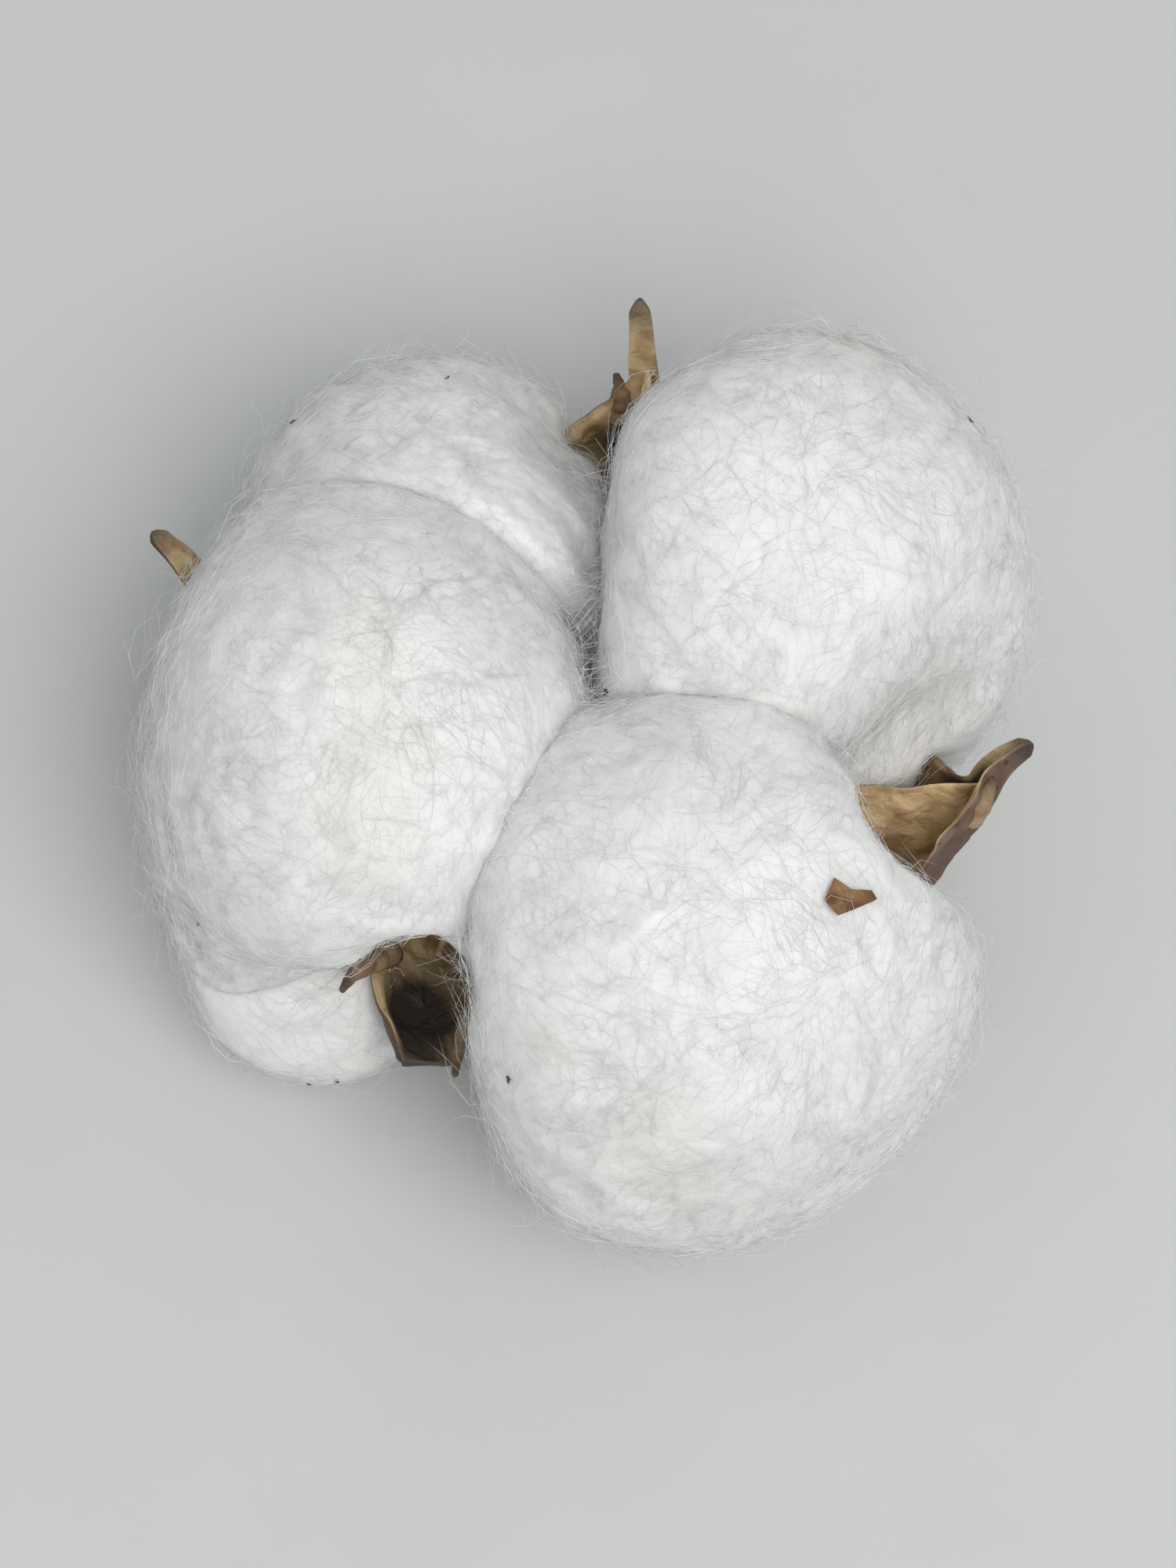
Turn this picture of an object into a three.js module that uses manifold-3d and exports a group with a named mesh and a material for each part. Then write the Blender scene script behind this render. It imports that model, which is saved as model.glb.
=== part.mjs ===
// An open cotton boll, as picked: four locks of lint in a dried bur of four valves, with its calyx and stalk.
// It lies face up and rests on the undersides of its locks. Millimetres, +Z up.
import * as THREE from 'three';
import { LoftGeometry } from 'three/addons/geometries/LoftGeometry.js';
import { mergeVertices } from 'three/addons/utils/BufferGeometryUtils.js';
import Module from 'manifold-3d';

const wasm = await Module();
wasm.setup();

// Clearances
const LOCK_GAP = 0.5; // between two locks where they press on each other
const BUR_GAP = 0.3; // between lint and bur, and between the stacked woody pieces

// Locks: bearing of the middle in plan, then the centre's distance out and height, then the three half sizes.
// The pillow of each lock is pressed by its neighbours, dented by the valves and flat where it lies. The lint
// of the left lock also hangs out under the front valve, as a lobe.
const LOCK_DETAIL = 8; // subdivisions of each face of the icosahedron that a lock is shaped from
const LOBE_DETAIL = 5;
const LOCK_FIRMNESS = 12; // exponent of the soft minimum: a higher one sharpens the pressed faces' edges
const LUMP_SHARE = 0.025; // height of the broad lumps on the lint, as a share of the local radius
const LUMP_WAVES = [ // for each wave over a lock's directions: its rate along X, Y and Z, and its step per seed
  [3.1, 1.7, 0, 2.3],
  [0, 2.9, -2.2, 1.3],
  [3.9, 0, 4.7, -1.9],
];
const LOCKS = {
  lock_right: { bearing: 43, out: 16.5, height: 20.9, along: 18.2, across: 17.6, up: 22.5, seed: 1 },
  lock_front: { bearing: 292, out: 16.5, height: 20.2, along: 18.4, across: 19.4, up: 22.3, seed: 2 },
  lock_left: { bearing: 186, out: 15.6, height: 20.2, along: 16.0, across: 20.5, up: 21.9, seed: 3 },
  lock_back: { bearing: 124, out: 19.2, height: 15.4, along: 15.4, across: 14.8, up: 16.6, seed: 4 },
  lobe_left: { bearing: 211, out: 21.0, height: 10.0, along: 10.0, across: 8.6, up: 8.3, seed: 5 },
};
const LOBES = { lobe_left: 'lock_left' }; // the lock that each lobe is part of

// Dents where a valve holds the lint back: the middle of the hollow, its depth as a share of the lock's radius
// there, and how far it spreads over the lock, in degrees.
const DENTS = {
  lock_right: [{ at: [20, 1, 25], depth: 0.26, spread: 24 }, { at: [3, 24, 27], depth: 0.2, spread: 22 }],
  lock_front: [{ at: [-12, -19.5, 19], depth: 0.25, spread: 32 }, { at: [20, -4, 27], depth: 0.3, spread: 22 }],
  lock_left: [{ at: [-16, -16, 19], depth: 0.5, spread: 27 }],
  lock_back: [{ at: [0, 24, 26], depth: 0.2, spread: 24 }],
  lobe_left: [],
};

// Walls where two locks press on each other: a point on the wall, the bearing from the first lock to the
// second, and how far the wall leans over the second lock, in degrees.
const WALLS = [
  { between: ['lock_right', 'lock_front'], at: [0, 0, 21], bearing: 262, lean: 0 },
  { between: ['lock_front', 'lock_left'], at: [-1, 0, 21], bearing: 155, lean: 0 },
  { between: ['lock_right', 'lock_left'], at: [0.2, 6, 21], bearing: 178, lean: 0 },
  { between: ['lock_right', 'lock_back'], at: [0.2, 12, 21], bearing: 178, lean: 0 },
  { between: ['lock_left', 'lock_back'], at: [-10, 11, 24], bearing: 75, lean: 16 },
];

// The hollow that the locks leave round the stalk, as a face that slants under each lock
const STALK_HOLLOW = { out: 6.5, height: 4.0, slant: 30 };

// Bur: a shallow bowl that parts into four valves. Each valve leaves at its base bearing and bends to its tip.
const BUR_AXIS_SIDES = 28;
const BOWL_UNDERSIDE = [[0, 7.0], [4.0, 7.2], [7.4, 8.4], [10.0, 9.6]];
const BOWL_INSIDE = [[9.8, 10.6], [6.8, 9.6], [3.6, 8.6], [0, 8.4]];
const VALVE_ROOT = { out: 3.5, height: 7.8 };
const SHOULDER_TURN = 0.4; // how far round the shoulder has gone from the root's bearing to the tip's
const HEART = new THREE.Vector3(0, 0, 26); // the point that every valve's inner face looks to

// For each valve: its bearing at the root, the bend that it leaves its root towards, the shoulder from which
// it flares to its tip, its tip, how far its end is cupped per half width, the share of the full width that
// each side has, the place along it where each side narrows, and the place where its septum ends. Then the
// broken teeth on it: place along, share across, length, and lean across and rise from the blade in degrees.
const VALVES = {
  valve_back: {
    bearing: 80, bend: { out: 30, height: 8 }, shoulder: { out: 25.4, height: 19 }, tip: [3, 32, 27],
    cup: 0.6, wide: [1, 1], narrows: [0.7, 0.66], septumEnd: 0.82,
    teeth: [{ place: 0.7, share: -0.55, length: 4, lean: 0, rise: 0 }],
  },
  valve_left: {
    bearing: 158, bend: { out: 32, height: 8 }, shoulder: { out: 28.5, height: 18 }, tip: [-31, 16.4, 22],
    cup: 0.5, wide: [1, 1], narrows: [0.72, 0.72], septumEnd: 0.82,
    teeth: [{ place: 0.7, share: 0.6, length: 2, lean: 0, rise: 0 }],
  },
  valve_front: {
    bearing: 221, bend: { out: 15, height: 9.5 }, shoulder: { out: 20, height: 14 }, tip: [-13.4, -20.8, 16],
    cup: 0.75, wide: [0.62, 0.66], narrows: [1.15, 0.86], septumEnd: 0.5,
    teeth: [
      { place: 0.66, share: 0.95, length: 8.5, lean: 17, rise: 12 },
      { place: 0.6, share: -1, length: 9.5, lean: -6, rise: 0 },
    ],
  },
  valve_right: {
    bearing: 344, bend: { out: 32, height: 8 }, shoulder: { out: 22.6, height: 21.8 }, tip: [29.6, -0.6, 25],
    cup: 0.8, wide: [1, 1], narrows: [0.7, 0.84], septumEnd: 0.82,
    teeth: [{ place: 0.8, share: 0.5, length: 4, lean: 0, rise: 0 }],
  },
};
const TOOTH = { root: 0.9, tip: 0.35, sides: 6, sunk: 1.2 };
const VALVE_HALF_WIDTH = { root: 3.6, widest: 6.8, shoulder: 5.4, spike: 1.25, tip: 0.75 };
const WIDEST_PLACE = 0.46; // place along the valve, from root to tip
const NARROWING = 0.09; // length of the narrowing to the spike, to each side of its middle
const VALVE_STATIONS = 22;
const VALVE_COLUMNS = 7;
const VALVE_THICKNESS = 1.1;
const VALVE_EDGE_THICKNESS = 0.65;
const ROOT_CUP = 0.08; // how far the edges curl towards the lint near the root, per half width
const CUP_SPAN = [0.2, 0.65]; // the places between which the cup grows from the root's to the end's
const SEPTUM = { from: 0.08, height: 14, skew: 0.85, thickness: 0.9, edge: 0.6, root: 0.3 };
const SEPTUM_STATIONS = 12;

// Lint stops at the wood: points on each valve's face hold a lock in, up to a reach from its centre, and let
// go of it again with the square of the angle from them. So do points above the bare parts of the face.
const STOPS = { places: [0.06, 0.86], stations: 24, columns: 9, reach: 26 };
const STOP_SHARES = { // how far across each valve its face stops the lint
  valve_back: [-0.8, 0.8], valve_left: [-0.8, 0.8], valve_front: [-0.8, 1], valve_right: [-0.8, 0.8],
};
const STOP_CLEARANCE = 1.1;
const STOP_RELEASE = { low: 110, high: 260, from: 9, to: 15 }; // mm per radian squared, between two heights
const STOP_FIRMNESS = 14; // exponent of the soft minimum with the lock's own radius
const HOLLOWS = [ // a valve, places along and shares across its face, how far up the hollow goes, and its slant
  { valve: 'valve_front', places: [0.4, 0.76], shares: [0.05, 0.8], rise: 14, slant: 20 },
  { valve: 'valve_front', places: [0.42, 0.6], shares: [-0.45, 0], rise: 20, slant: 20 },
  { valve: 'valve_front', places: [0.55, 1], shares: [-0.7, 0], rise: 20, slant: 20 },
  { valve: 'valve_right', places: [0.26, 0.86], shares: [0.05, 0.95], rise: 20, slant: 0 },
  { valve: 'valve_back', places: [0.5, 0.8], shares: [-0.8, 0.5], rise: 12, slant: 0 },
];
const HOLLOW_STEPS = { along: 12, across: 5, up: 9 };

// Calyx: a withered cup under the bur, with low lobes and the broken spikes of the bracts
const CALYX_UNDERSIDE = [[4.6, 4.3], [7.0, 5.2], [9.4, 7.0]];
const CALYX_INSIDE = [[9.0, 7.6], [6.8, 6.9], [4.0, 6.5], [0, 6.4]];
const CALYX_SOCKET = [[0, 5.5], [2.5, 5.5], [2.5, 4.4]];
const CALYX_SIDES = 35;
const CALYX_LOBES = 5;
const CALYX_LOBE_RISE = 2.4; // per share that a point lies beyond the place where the lobes start
const CALYX_RIM = 6.7; // distance out from which the lobes start
const BRACT_SPIKES = [ // bearing, length and droop below level of each spike
  { bearing: 20, length: 6.0, droop: 12 },
  { bearing: 36, length: 4.2, droop: 30 },
  { bearing: 137, length: 5.2, droop: 20 },
  { bearing: 262, length: 5.6, droop: 16 },
];
const SPIKE_ROOT = { out: 5.6, height: 5.6, radius: 0.75, tip: 0.25 };
const SPIKE_SIDES = 5;

// Stalk: the cut stub, seated in the calyx
const STALK_RADIUS = 2.1;
const STALK_RINGS = [[0.8, 0.94], [1.2, 1.06], [3.0, 0.98], [5.2, 1.04]]; // height, and share of the radius
const STALK_RIBS = 5;
const STALK_RIB_SHARE = 0.06;
const STALK_SIDES = 20;

// Scrap of dry leaf caught in the front lock: the way to it from the lock's centre, and its outline
const SCRAP_TOWARDS = [0.44, -0.07, 0.89];
const SCRAP_OUTLINE = [
  [-1.9, -0.5], [-0.9, -1.3], [0.2, -0.7], [1.9, 0.3], [1.5, 0.9], [0.1, 0.7], [-1.2, 1.2],
];
const SCRAP_HALF_WIDTH = 1.3; // across the narrow way of the outline
const SCRAP_THICKNESS = 0.7;
const SCRAP_STANDS_OUT = 0.35; // how far its middle lies above the lint

const COLOURS = { lint: 0xf1f1ee, bur: 0x7a5a40, calyx: 0x4a372a, stalk: 0x5b4230, scrap: 0x8a6038 };
const UP = new THREE.Vector3(0, 0, 1);
const radians = THREE.MathUtils.degToRad;

// A point at a bearing in plan, a distance out from the boll's axis and a height.
function polar(bearing, out, height) {
  return new THREE.Vector3(out * Math.cos(radians(bearing)), out * Math.sin(radians(bearing)), height);
}

// A closed three.js geometry as a manifold solid with its faces pointing out.
function solidOf(geometry) {
  const bare = new THREE.BufferGeometry();
  bare.setAttribute('position', geometry.getAttribute('position'));
  bare.setIndex(geometry.getIndex());
  const merged = mergeVertices(bare);
  const corners = Array.from(merged.index.array);
  const triangles = [];
  for (let i = 0; i < corners.length; i += 3) {
    const [a, b, c] = corners.slice(i, i + 3);
    if (a !== b && b !== c && c !== a) triangles.push(a, b, c);
  }
  const vertProperties = merged.attributes.position.array;
  const make = (list) =>
    new wasm.Manifold(new wasm.Mesh({ numProp: 3, vertProperties, triVerts: new Uint32Array(list) }));
  const solid = make(triangles);
  return solid.volume() > 0 ? solid : make(triangles.reverse());
}

// A manifold solid as a named three.js mesh.
function meshOf(name, solid, colour, roughness) {
  const { vertProperties, triVerts } = solid.getMesh();
  const geometry = new THREE.BufferGeometry();
  geometry.setAttribute('position', new THREE.BufferAttribute(vertProperties, 3));
  geometry.setIndex(new THREE.BufferAttribute(triVerts, 1));
  geometry.computeVertexNormals();
  const material = new THREE.MeshStandardMaterial({ color: colour, roughness, metalness: 0 });
  const mesh = new THREE.Mesh(geometry, material);
  mesh.name = name;
  return mesh;
}

// The largest body of a solid: a cut can leave a loose scrap behind, which is dropped.
function largestBody(solid) {
  return solid.decompose().reduce((best, body) => (body.volume() > best.volume() ? body : best));
}

// A profile of distances out and heights, turned round the boll's axis.
function turned(profile, sides) {
  const points = profile.map(([out, height]) => new THREE.Vector2(out, height));
  return new THREE.LatheGeometry(points, sides).rotateX(Math.PI / 2);
}

// A profile moved outwards by a clearance: outwards from the axis, and down below or up inside.
function grown(profile, grow, upward) {
  return profile.map(([out, height]) => [out === 0 ? 0 : out + grow, height + upward * grow]);
}

// A valve's centre line, from its root in the bowl to its tip.
function valvePath(valve) {
  const tip = new THREE.Vector3(...valve.tip);
  const tipBearing = THREE.MathUtils.radToDeg(Math.atan2(tip.y, tip.x));
  const turn = THREE.MathUtils.euclideanModulo(tipBearing - valve.bearing + 180, 360) - 180;
  return new THREE.CubicBezierCurve3(
    polar(valve.bearing, VALVE_ROOT.out, VALVE_ROOT.height),
    polar(valve.bearing, valve.bend.out, valve.bend.height),
    polar(valve.bearing + turn * SHOULDER_TURN, valve.shoulder.out, valve.shoulder.height),
    tip,
  );
}

// A place on a valve's centre line, with the directions along it, towards the lint and across.
function valveFrame(path, place) {
  const at = path.getPoint(place);
  const along = path.getTangent(place);
  const inward = HEART.clone().sub(at).projectOnPlane(along).normalize();
  const across = along.clone().cross(inward);
  return { at, along, inward, across };
}

// How far the valve's middle surface stands in from its centre line, at a place along and a share across.
function valveCurl(valve, place, halfWidth, share) {
  const cup = THREE.MathUtils.lerp(ROOT_CUP, valve.cup, THREE.MathUtils.smoothstep(place, ...CUP_SPAN));
  return cup * halfWidth * share * share;
}

// The half width of one side of a valve: it swells to the middle, and past its shoulder narrows to the spike.
function valveHalfWidth(valve, place, share) {
  const { root, widest, shoulder, spike, tip } = VALVE_HALF_WIDTH;
  const { lerp, smoothstep } = THREE.MathUtils;
  const side = share < 0 ? 0 : 1;
  const full = place < WIDEST_PLACE
    ? lerp(root, widest, Math.sin(Math.PI / 2 * place / WIDEST_PLACE))
    : lerp(widest, shoulder, (place - WIDEST_PLACE) / (1 - WIDEST_PLACE));
  const body = full * valve.wide[side];
  const narrows = valve.narrows[side];
  const thin = lerp(spike, tip, smoothstep(place, narrows, 1));
  return lerp(body, thin, smoothstep(place, narrows - NARROWING, narrows + NARROWING));
}

// A point on a valve's middle surface, at a place along it and a share across it, moved in by a depth.
function valvePoint(valve, path, place, share, grow, depth) {
  const { at, inward, across } = valveFrame(path, place);
  const halfWidth = valveHalfWidth(valve, place, share) + grow;
  return at.addScaledVector(across, share * halfWidth)
    .addScaledVector(inward, depth + valveCurl(valve, place, halfWidth, share));
}

// One valve of the bur without its septum: a thin blade that is cupped towards its tip.
function valveBlade(valve, path, grow) {
  const sections = Array.from({ length: VALVE_STATIONS + 1 }, (_, station) => {
    const side = (towardsLint) =>
      Array.from({ length: VALVE_COLUMNS }, (_, column) => {
        const share = (2 * column) / (VALVE_COLUMNS - 1) - 1;
        const thickness = THREE.MathUtils.lerp(VALVE_THICKNESS, VALVE_EDGE_THICKNESS, Math.abs(share));
        const depth = towardsLint * (thickness / 2 + grow);
        return valvePoint(valve, path, station / VALVE_STATIONS, share, grow, depth);
      });
    return [...side(1), ...side(-1).reverse()];
  });
  return solidOf(new LoftGeometry(sections, { capStart: true, capEnd: true }));
}

// A broken tooth on a valve: it goes along the blade, turned by its lean and lifted by its rise.
function valveTooth(valve, path, { place, share, length, lean, rise }, grow) {
  const { along, inward, across } = valveFrame(path, place);
  const way = along.multiplyScalar(Math.cos(radians(lean)))
    .addScaledVector(across, Math.sin(radians(lean)))
    .addScaledVector(inward, Math.tan(radians(rise)))
    .normalize();
  const tooth = new THREE.CylinderGeometry(TOOTH.tip + grow, TOOTH.root + grow, length + grow, TOOTH.sides);
  tooth.translate(0, (length + grow) / 2 - TOOTH.sunk, 0);
  tooth.applyQuaternion(new THREE.Quaternion().setFromUnitVectors(new THREE.Vector3(0, 1, 0), way));
  const at = valvePoint(valve, path, place, share, 0, 0);
  return solidOf(tooth.translate(at.x, at.y, at.z));
}

// The thin wall that stands on the middle of a valve, between two locks.
function septumFin(valve, path, grow) {
  const sections = [];
  for (let station = 0; station <= SEPTUM_STATIONS; station++) {
    const share = station / SEPTUM_STATIONS;
    const place = THREE.MathUtils.lerp(SEPTUM.from, valve.septumEnd, share);
    const { at, inward, across } = valveFrame(path, place);
    const arch = Math.sin(Math.PI * Math.pow(share, SEPTUM.skew));
    const height = SEPTUM.height * arch + VALVE_EDGE_THICKNESS + grow;
    const corner = (thickness, depth) =>
      at.clone().addScaledVector(across, thickness / 2).addScaledVector(inward, depth);
    sections.push([
      corner(-SEPTUM.edge - 2 * grow, height),
      corner(SEPTUM.edge + 2 * grow, height),
      corner(SEPTUM.thickness + 2 * grow, -SEPTUM.root),
      corner(-SEPTUM.thickness - 2 * grow, -SEPTUM.root),
    ]);
  }
  return solidOf(new LoftGeometry(sections, { capStart: true, capEnd: true }));
}

// The whole bur, or with grow above zero the room that it needs in the lint.
function bur(grow) {
  const profile = [...grown(BOWL_UNDERSIDE, grow, -1), ...grown(BOWL_INSIDE, grow, 1)];
  const bowl = solidOf(turned(profile, BUR_AXIS_SIDES));
  return Object.values(VALVES).reduce((whole, valve) => {
    const path = valvePath(valve);
    const wood = whole.add(valveBlade(valve, path, grow)).add(septumFin(valve, path, grow));
    return valve.teeth.reduce((sum, tooth) => sum.add(valveTooth(valve, path, tooth, grow)), wood);
  }, bowl);
}

// The calyx cup with its lobed rim, and the bract spikes fused to its side.
function calyx(grow) {
  const profile = [...CALYX_SOCKET, ...grown(CALYX_UNDERSIDE, grow, -1), ...grown(CALYX_INSIDE, grow, 1)];
  const cup = turned(profile, CALYX_SIDES);
  const position = cup.getAttribute('position');
  for (let i = 0; i < position.count; i++) {
    const [x, y] = [position.getX(i), position.getY(i)];
    const wave = Math.cos(CALYX_LOBES * Math.atan2(y, x));
    const share = Math.max(Math.hypot(x, y) / CALYX_RIM - 1, 0);
    position.setZ(i, position.getZ(i) + CALYX_LOBE_RISE * wave * share);
  }
  return BRACT_SPIKES.reduce((whole, spike) => whole.add(bractSpike(spike, grow)), solidOf(cup));
}

// One bract spike: a blunt cone that droops away from the calyx.
function bractSpike({ bearing, length, droop }, grow) {
  const { out, height, radius, tip } = SPIKE_ROOT;
  const spike = new THREE.CylinderGeometry(tip + grow, radius + grow, length + grow, SPIKE_SIDES);
  spike.translate(0, (length + grow) / 2, 0).rotateZ(-Math.PI / 2);
  spike.rotateY(radians(droop)).rotateZ(radians(bearing));
  const root = polar(bearing, out, height);
  return solidOf(spike.translate(root.x, root.y, root.z));
}

// The stub of stalk: five low ribs, a little wider where it was cut.
function stalk() {
  const sections = STALK_RINGS.map(([height, width]) =>
    Array.from({ length: STALK_SIDES }, (_, side) => {
      const bearing = (360 * side) / STALK_SIDES;
      const rib = 1 + STALK_RIB_SHARE * Math.cos(STALK_RIBS * radians(bearing));
      return polar(bearing, STALK_RADIUS * width * rib, height);
    }));
  return solidOf(new LoftGeometry(sections, { capStart: true, capEnd: true }));
}

// Broad lumps on the lint: the mean of a few slow waves over the lock's directions, set apart by its seed.
function lump(direction, seed) {
  const heights = LUMP_WAVES.map(([x, y, z, step]) =>
    Math.sin(x * direction.x + y * direction.y + z * direction.z + step * seed));
  return heights.reduce((sum, height) => sum + height) / heights.length;
}

// The point that a lock's pillow is shaped round.
function lockCentre(lock) {
  return polar(lock.bearing, lock.out, lock.height);
}

// The faces that press on a lock: each has its distance from the lock's centre and its outward direction.
function pressingFaces(name) {
  const lock = LOCKS[name];
  const centre = lockCentre(lock);
  const face = (point, outward, gap) => ({ outward, distance: point.clone().sub(centre).dot(outward) - gap });
  const owner = LOBES[name] ?? name;
  const touching = WALLS.filter(({ between }) => between.includes(owner));
  const walls = touching.map(({ between, at, bearing, lean }) => {
    const outward = polar(bearing, Math.cos(radians(lean)), -Math.sin(radians(lean)));
    if (between[1] === owner) outward.negate();
    return face(new THREE.Vector3(...at), outward, LOCK_GAP / 2);
  });
  const { out, height, slant } = STALK_HOLLOW;
  const underside = polar(lock.bearing, -Math.cos(radians(slant)), -Math.sin(radians(slant)));
  return [...walls, face(polar(lock.bearing, out, height), underside, 0)];
}

// Evenly spaced values over a range, with both its ends.
function spaced([first, last], count) {
  return Array.from({ length: count }, (_, i) => THREE.MathUtils.lerp(first, last, i / (count - 1)));
}

// The points that stop the lint: on the face of each valve, and above the parts of it that are bare.
function stopPoints() {
  const points = (name, places, shares, rises) => {
    const valve = VALVES[name];
    const path = valvePath(valve);
    return places.flatMap((place) => shares.flatMap((share) => rises.map((rise) =>
      valvePoint(valve, path, place, share, 0, 0).add(rise))));
  };
  const level = [new THREE.Vector3()];
  const faces = Object.keys(VALVES).flatMap((name) =>
    points(name, spaced(STOPS.places, STOPS.stations), spaced(STOP_SHARES[name], STOPS.columns), level));
  const { along, across, up } = HOLLOW_STEPS;
  const hollows = HOLLOWS.flatMap(({ valve, places, shares, rise, slant }) => {
    const upward = UP.clone().applyAxisAngle(new THREE.Vector3(1, 0, 0), radians(slant));
    const rises = spaced([0, rise], up).map((far) => upward.clone().multiplyScalar(far));
    return points(valve, spaced(places, along), spaced(shares, across), rises);
  });
  return [...faces, ...hollows];
}

// The stops within reach of a lock: the way to each one from the lock's centre, the radius that it allows,
// and how fast it lets go.
function lockStops(name) {
  const centre = lockCentre(LOCKS[name]);
  const { low, high, from, to } = STOP_RELEASE;
  return stopPoints()
    .filter((point) => point.distanceTo(centre) < STOPS.reach)
    .map((point) => {
      const release = THREE.MathUtils.lerp(low, high, THREE.MathUtils.smoothstep(point.z, from, to));
      const way = point.sub(centre);
      return { radius: way.length() - STOP_CLEARANCE, release, way: way.normalize() };
    });
}

// The lock's radius in a direction from its centre: a soft minimum of its pillow and of the faces that press on
// it, then of that and its stops, cut off level at the surface that the boll lies on.
function lockRadius(name, direction, stops) {
  const lock = LOCKS[name];
  const local = direction.clone().applyAxisAngle(UP, -radians(lock.bearing));
  const lumps = 1 + LUMP_SHARE * lump(direction, lock.seed);
  const centre = lockCentre(lock);
  const dents = DENTS[name].reduce((share, { at, depth, spread }) => {
    const angle = new THREE.Vector3(...at).sub(centre).angleTo(direction) / radians(spread);
    return share * (1 - depth * Math.exp(-angle * angle));
  }, 1);
  const pillow = lumps * dents / Math.hypot(local.x / lock.along, local.y / lock.across, local.z / lock.up);
  const soft = pressingFaces(name).reduce((sum, { outward, distance }) => {
    const towards = Math.max(outward.dot(direction), 0);
    return sum + Math.pow(towards / distance, LOCK_FIRMNESS);
  }, Math.pow(pillow, -LOCK_FIRMNESS));
  const free = Math.pow(soft, -1 / LOCK_FIRMNESS);
  const held = stops.reduce((least, stop) =>
    Math.min(least, stop.radius + stop.release * stop.way.distanceToSquared(direction)), Infinity);
  const radius = Math.pow(Math.pow(free, -STOP_FIRMNESS) + Math.pow(held, -STOP_FIRMNESS), -1 / STOP_FIRMNESS);
  return direction.z < 0 ? Math.min(radius, -lock.height / direction.z) : radius;
}

// A lock before the room for the bur is cut out of it.
function lockPillow(name) {
  const lock = LOCKS[name];
  const centre = lockCentre(lock);
  const stops = lockStops(name);
  const geometry = new THREE.IcosahedronGeometry(1, name in LOBES ? LOBE_DETAIL : LOCK_DETAIL);
  const position = geometry.getAttribute('position');
  const direction = new THREE.Vector3();
  for (let i = 0; i < position.count; i++) {
    direction.fromBufferAttribute(position, i).normalize();
    const radius = lockRadius(name, direction, stops);
    const point = centre.clone().addScaledVector(direction, radius);
    position.setXYZ(i, point.x, point.y, Math.max(point.z, 0));
  }
  return solidOf(geometry);
}

// The scrap of leaf: a small flat chip, lying along the lint where it is caught.
function leafScrap(grow) {
  const lock = LOCKS.lock_front;
  const direction = new THREE.Vector3(...SCRAP_TOWARDS).normalize();
  const reach = lockRadius('lock_front', direction, lockStops('lock_front')) + SCRAP_STANDS_OUT;
  const larger = 1 + grow / SCRAP_HALF_WIDTH;
  const outline = new THREE.Shape(SCRAP_OUTLINE.map(([x, y]) => new THREE.Vector2(x * larger, y * larger)));
  const depth = SCRAP_THICKNESS + 2 * grow;
  const chip = new THREE.ExtrudeGeometry(outline, { depth, bevelEnabled: false }).translate(0, 0, -depth / 2);
  chip.applyQuaternion(new THREE.Quaternion().setFromUnitVectors(UP, direction));
  const at = lockCentre(lock).addScaledVector(direction, reach);
  return solidOf(chip.translate(at.x, at.y, at.z));
}

const boll = new THREE.Group();
boll.add(meshOf('bur', bur(0), COLOURS.bur, 0.7));
boll.add(meshOf('calyx', largestBody(calyx(0).subtract(bur(BUR_GAP))), COLOURS.calyx, 0.85));
boll.add(meshOf('stalk', stalk(), COLOURS.stalk, 0.85));
boll.add(meshOf('leaf_scrap', leafScrap(0), COLOURS.scrap, 0.8));

const roomInLint = bur(BUR_GAP).add(calyx(BUR_GAP)).add(leafScrap(BUR_GAP));
for (const name of Object.keys(LOCKS).filter((key) => !(key in LOBES))) {
  const lobes = Object.keys(LOBES).filter((lobe) => LOBES[lobe] === name);
  const lint = lobes.reduce((sum, lobe) => sum.add(lockPillow(lobe)), lockPillow(name));
  boll.add(meshOf(name, largestBody(lint.subtract(roomInLint)), COLOURS.lint, 1));
}

// The part's origin is under the middle of its box, on the surface that it lies on.
const box = new THREE.Box3().setFromObject(boll);
const middle = box.getCenter(new THREE.Vector3());
boll.position.set(-middle.x, -middle.y, -box.min.z);

export default boll;
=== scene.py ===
# %% [markdown]
# # An open cotton boll
# This lesson dresses a cotton boll that was picked ripe and laid face up. The solids of the boll come from
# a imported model, the frame. Each step adds a finer piece where one of those solids stands: lint with its
# fibres, the dried bur, the withered calyx and the stub of stalk. Everything is worked out in millimetres
# round the boll's own axis, and turned into metres only when a mesh is made.

# %% The frame
import math

import bpy
import numpy as np
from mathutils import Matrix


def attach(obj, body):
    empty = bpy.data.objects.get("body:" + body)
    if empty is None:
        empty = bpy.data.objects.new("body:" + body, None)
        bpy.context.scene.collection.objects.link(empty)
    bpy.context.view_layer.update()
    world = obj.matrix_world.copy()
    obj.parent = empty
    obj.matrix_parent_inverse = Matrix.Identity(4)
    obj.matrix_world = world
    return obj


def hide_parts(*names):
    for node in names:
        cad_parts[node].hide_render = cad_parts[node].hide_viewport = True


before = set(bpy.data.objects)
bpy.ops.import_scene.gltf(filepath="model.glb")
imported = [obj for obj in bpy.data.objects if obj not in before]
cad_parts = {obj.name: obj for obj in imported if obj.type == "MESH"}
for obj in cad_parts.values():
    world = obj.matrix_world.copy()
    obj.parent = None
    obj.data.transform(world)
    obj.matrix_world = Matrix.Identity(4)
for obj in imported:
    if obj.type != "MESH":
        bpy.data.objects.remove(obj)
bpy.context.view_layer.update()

print("solids in the frame:", ", ".join(sorted(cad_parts)))

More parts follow.
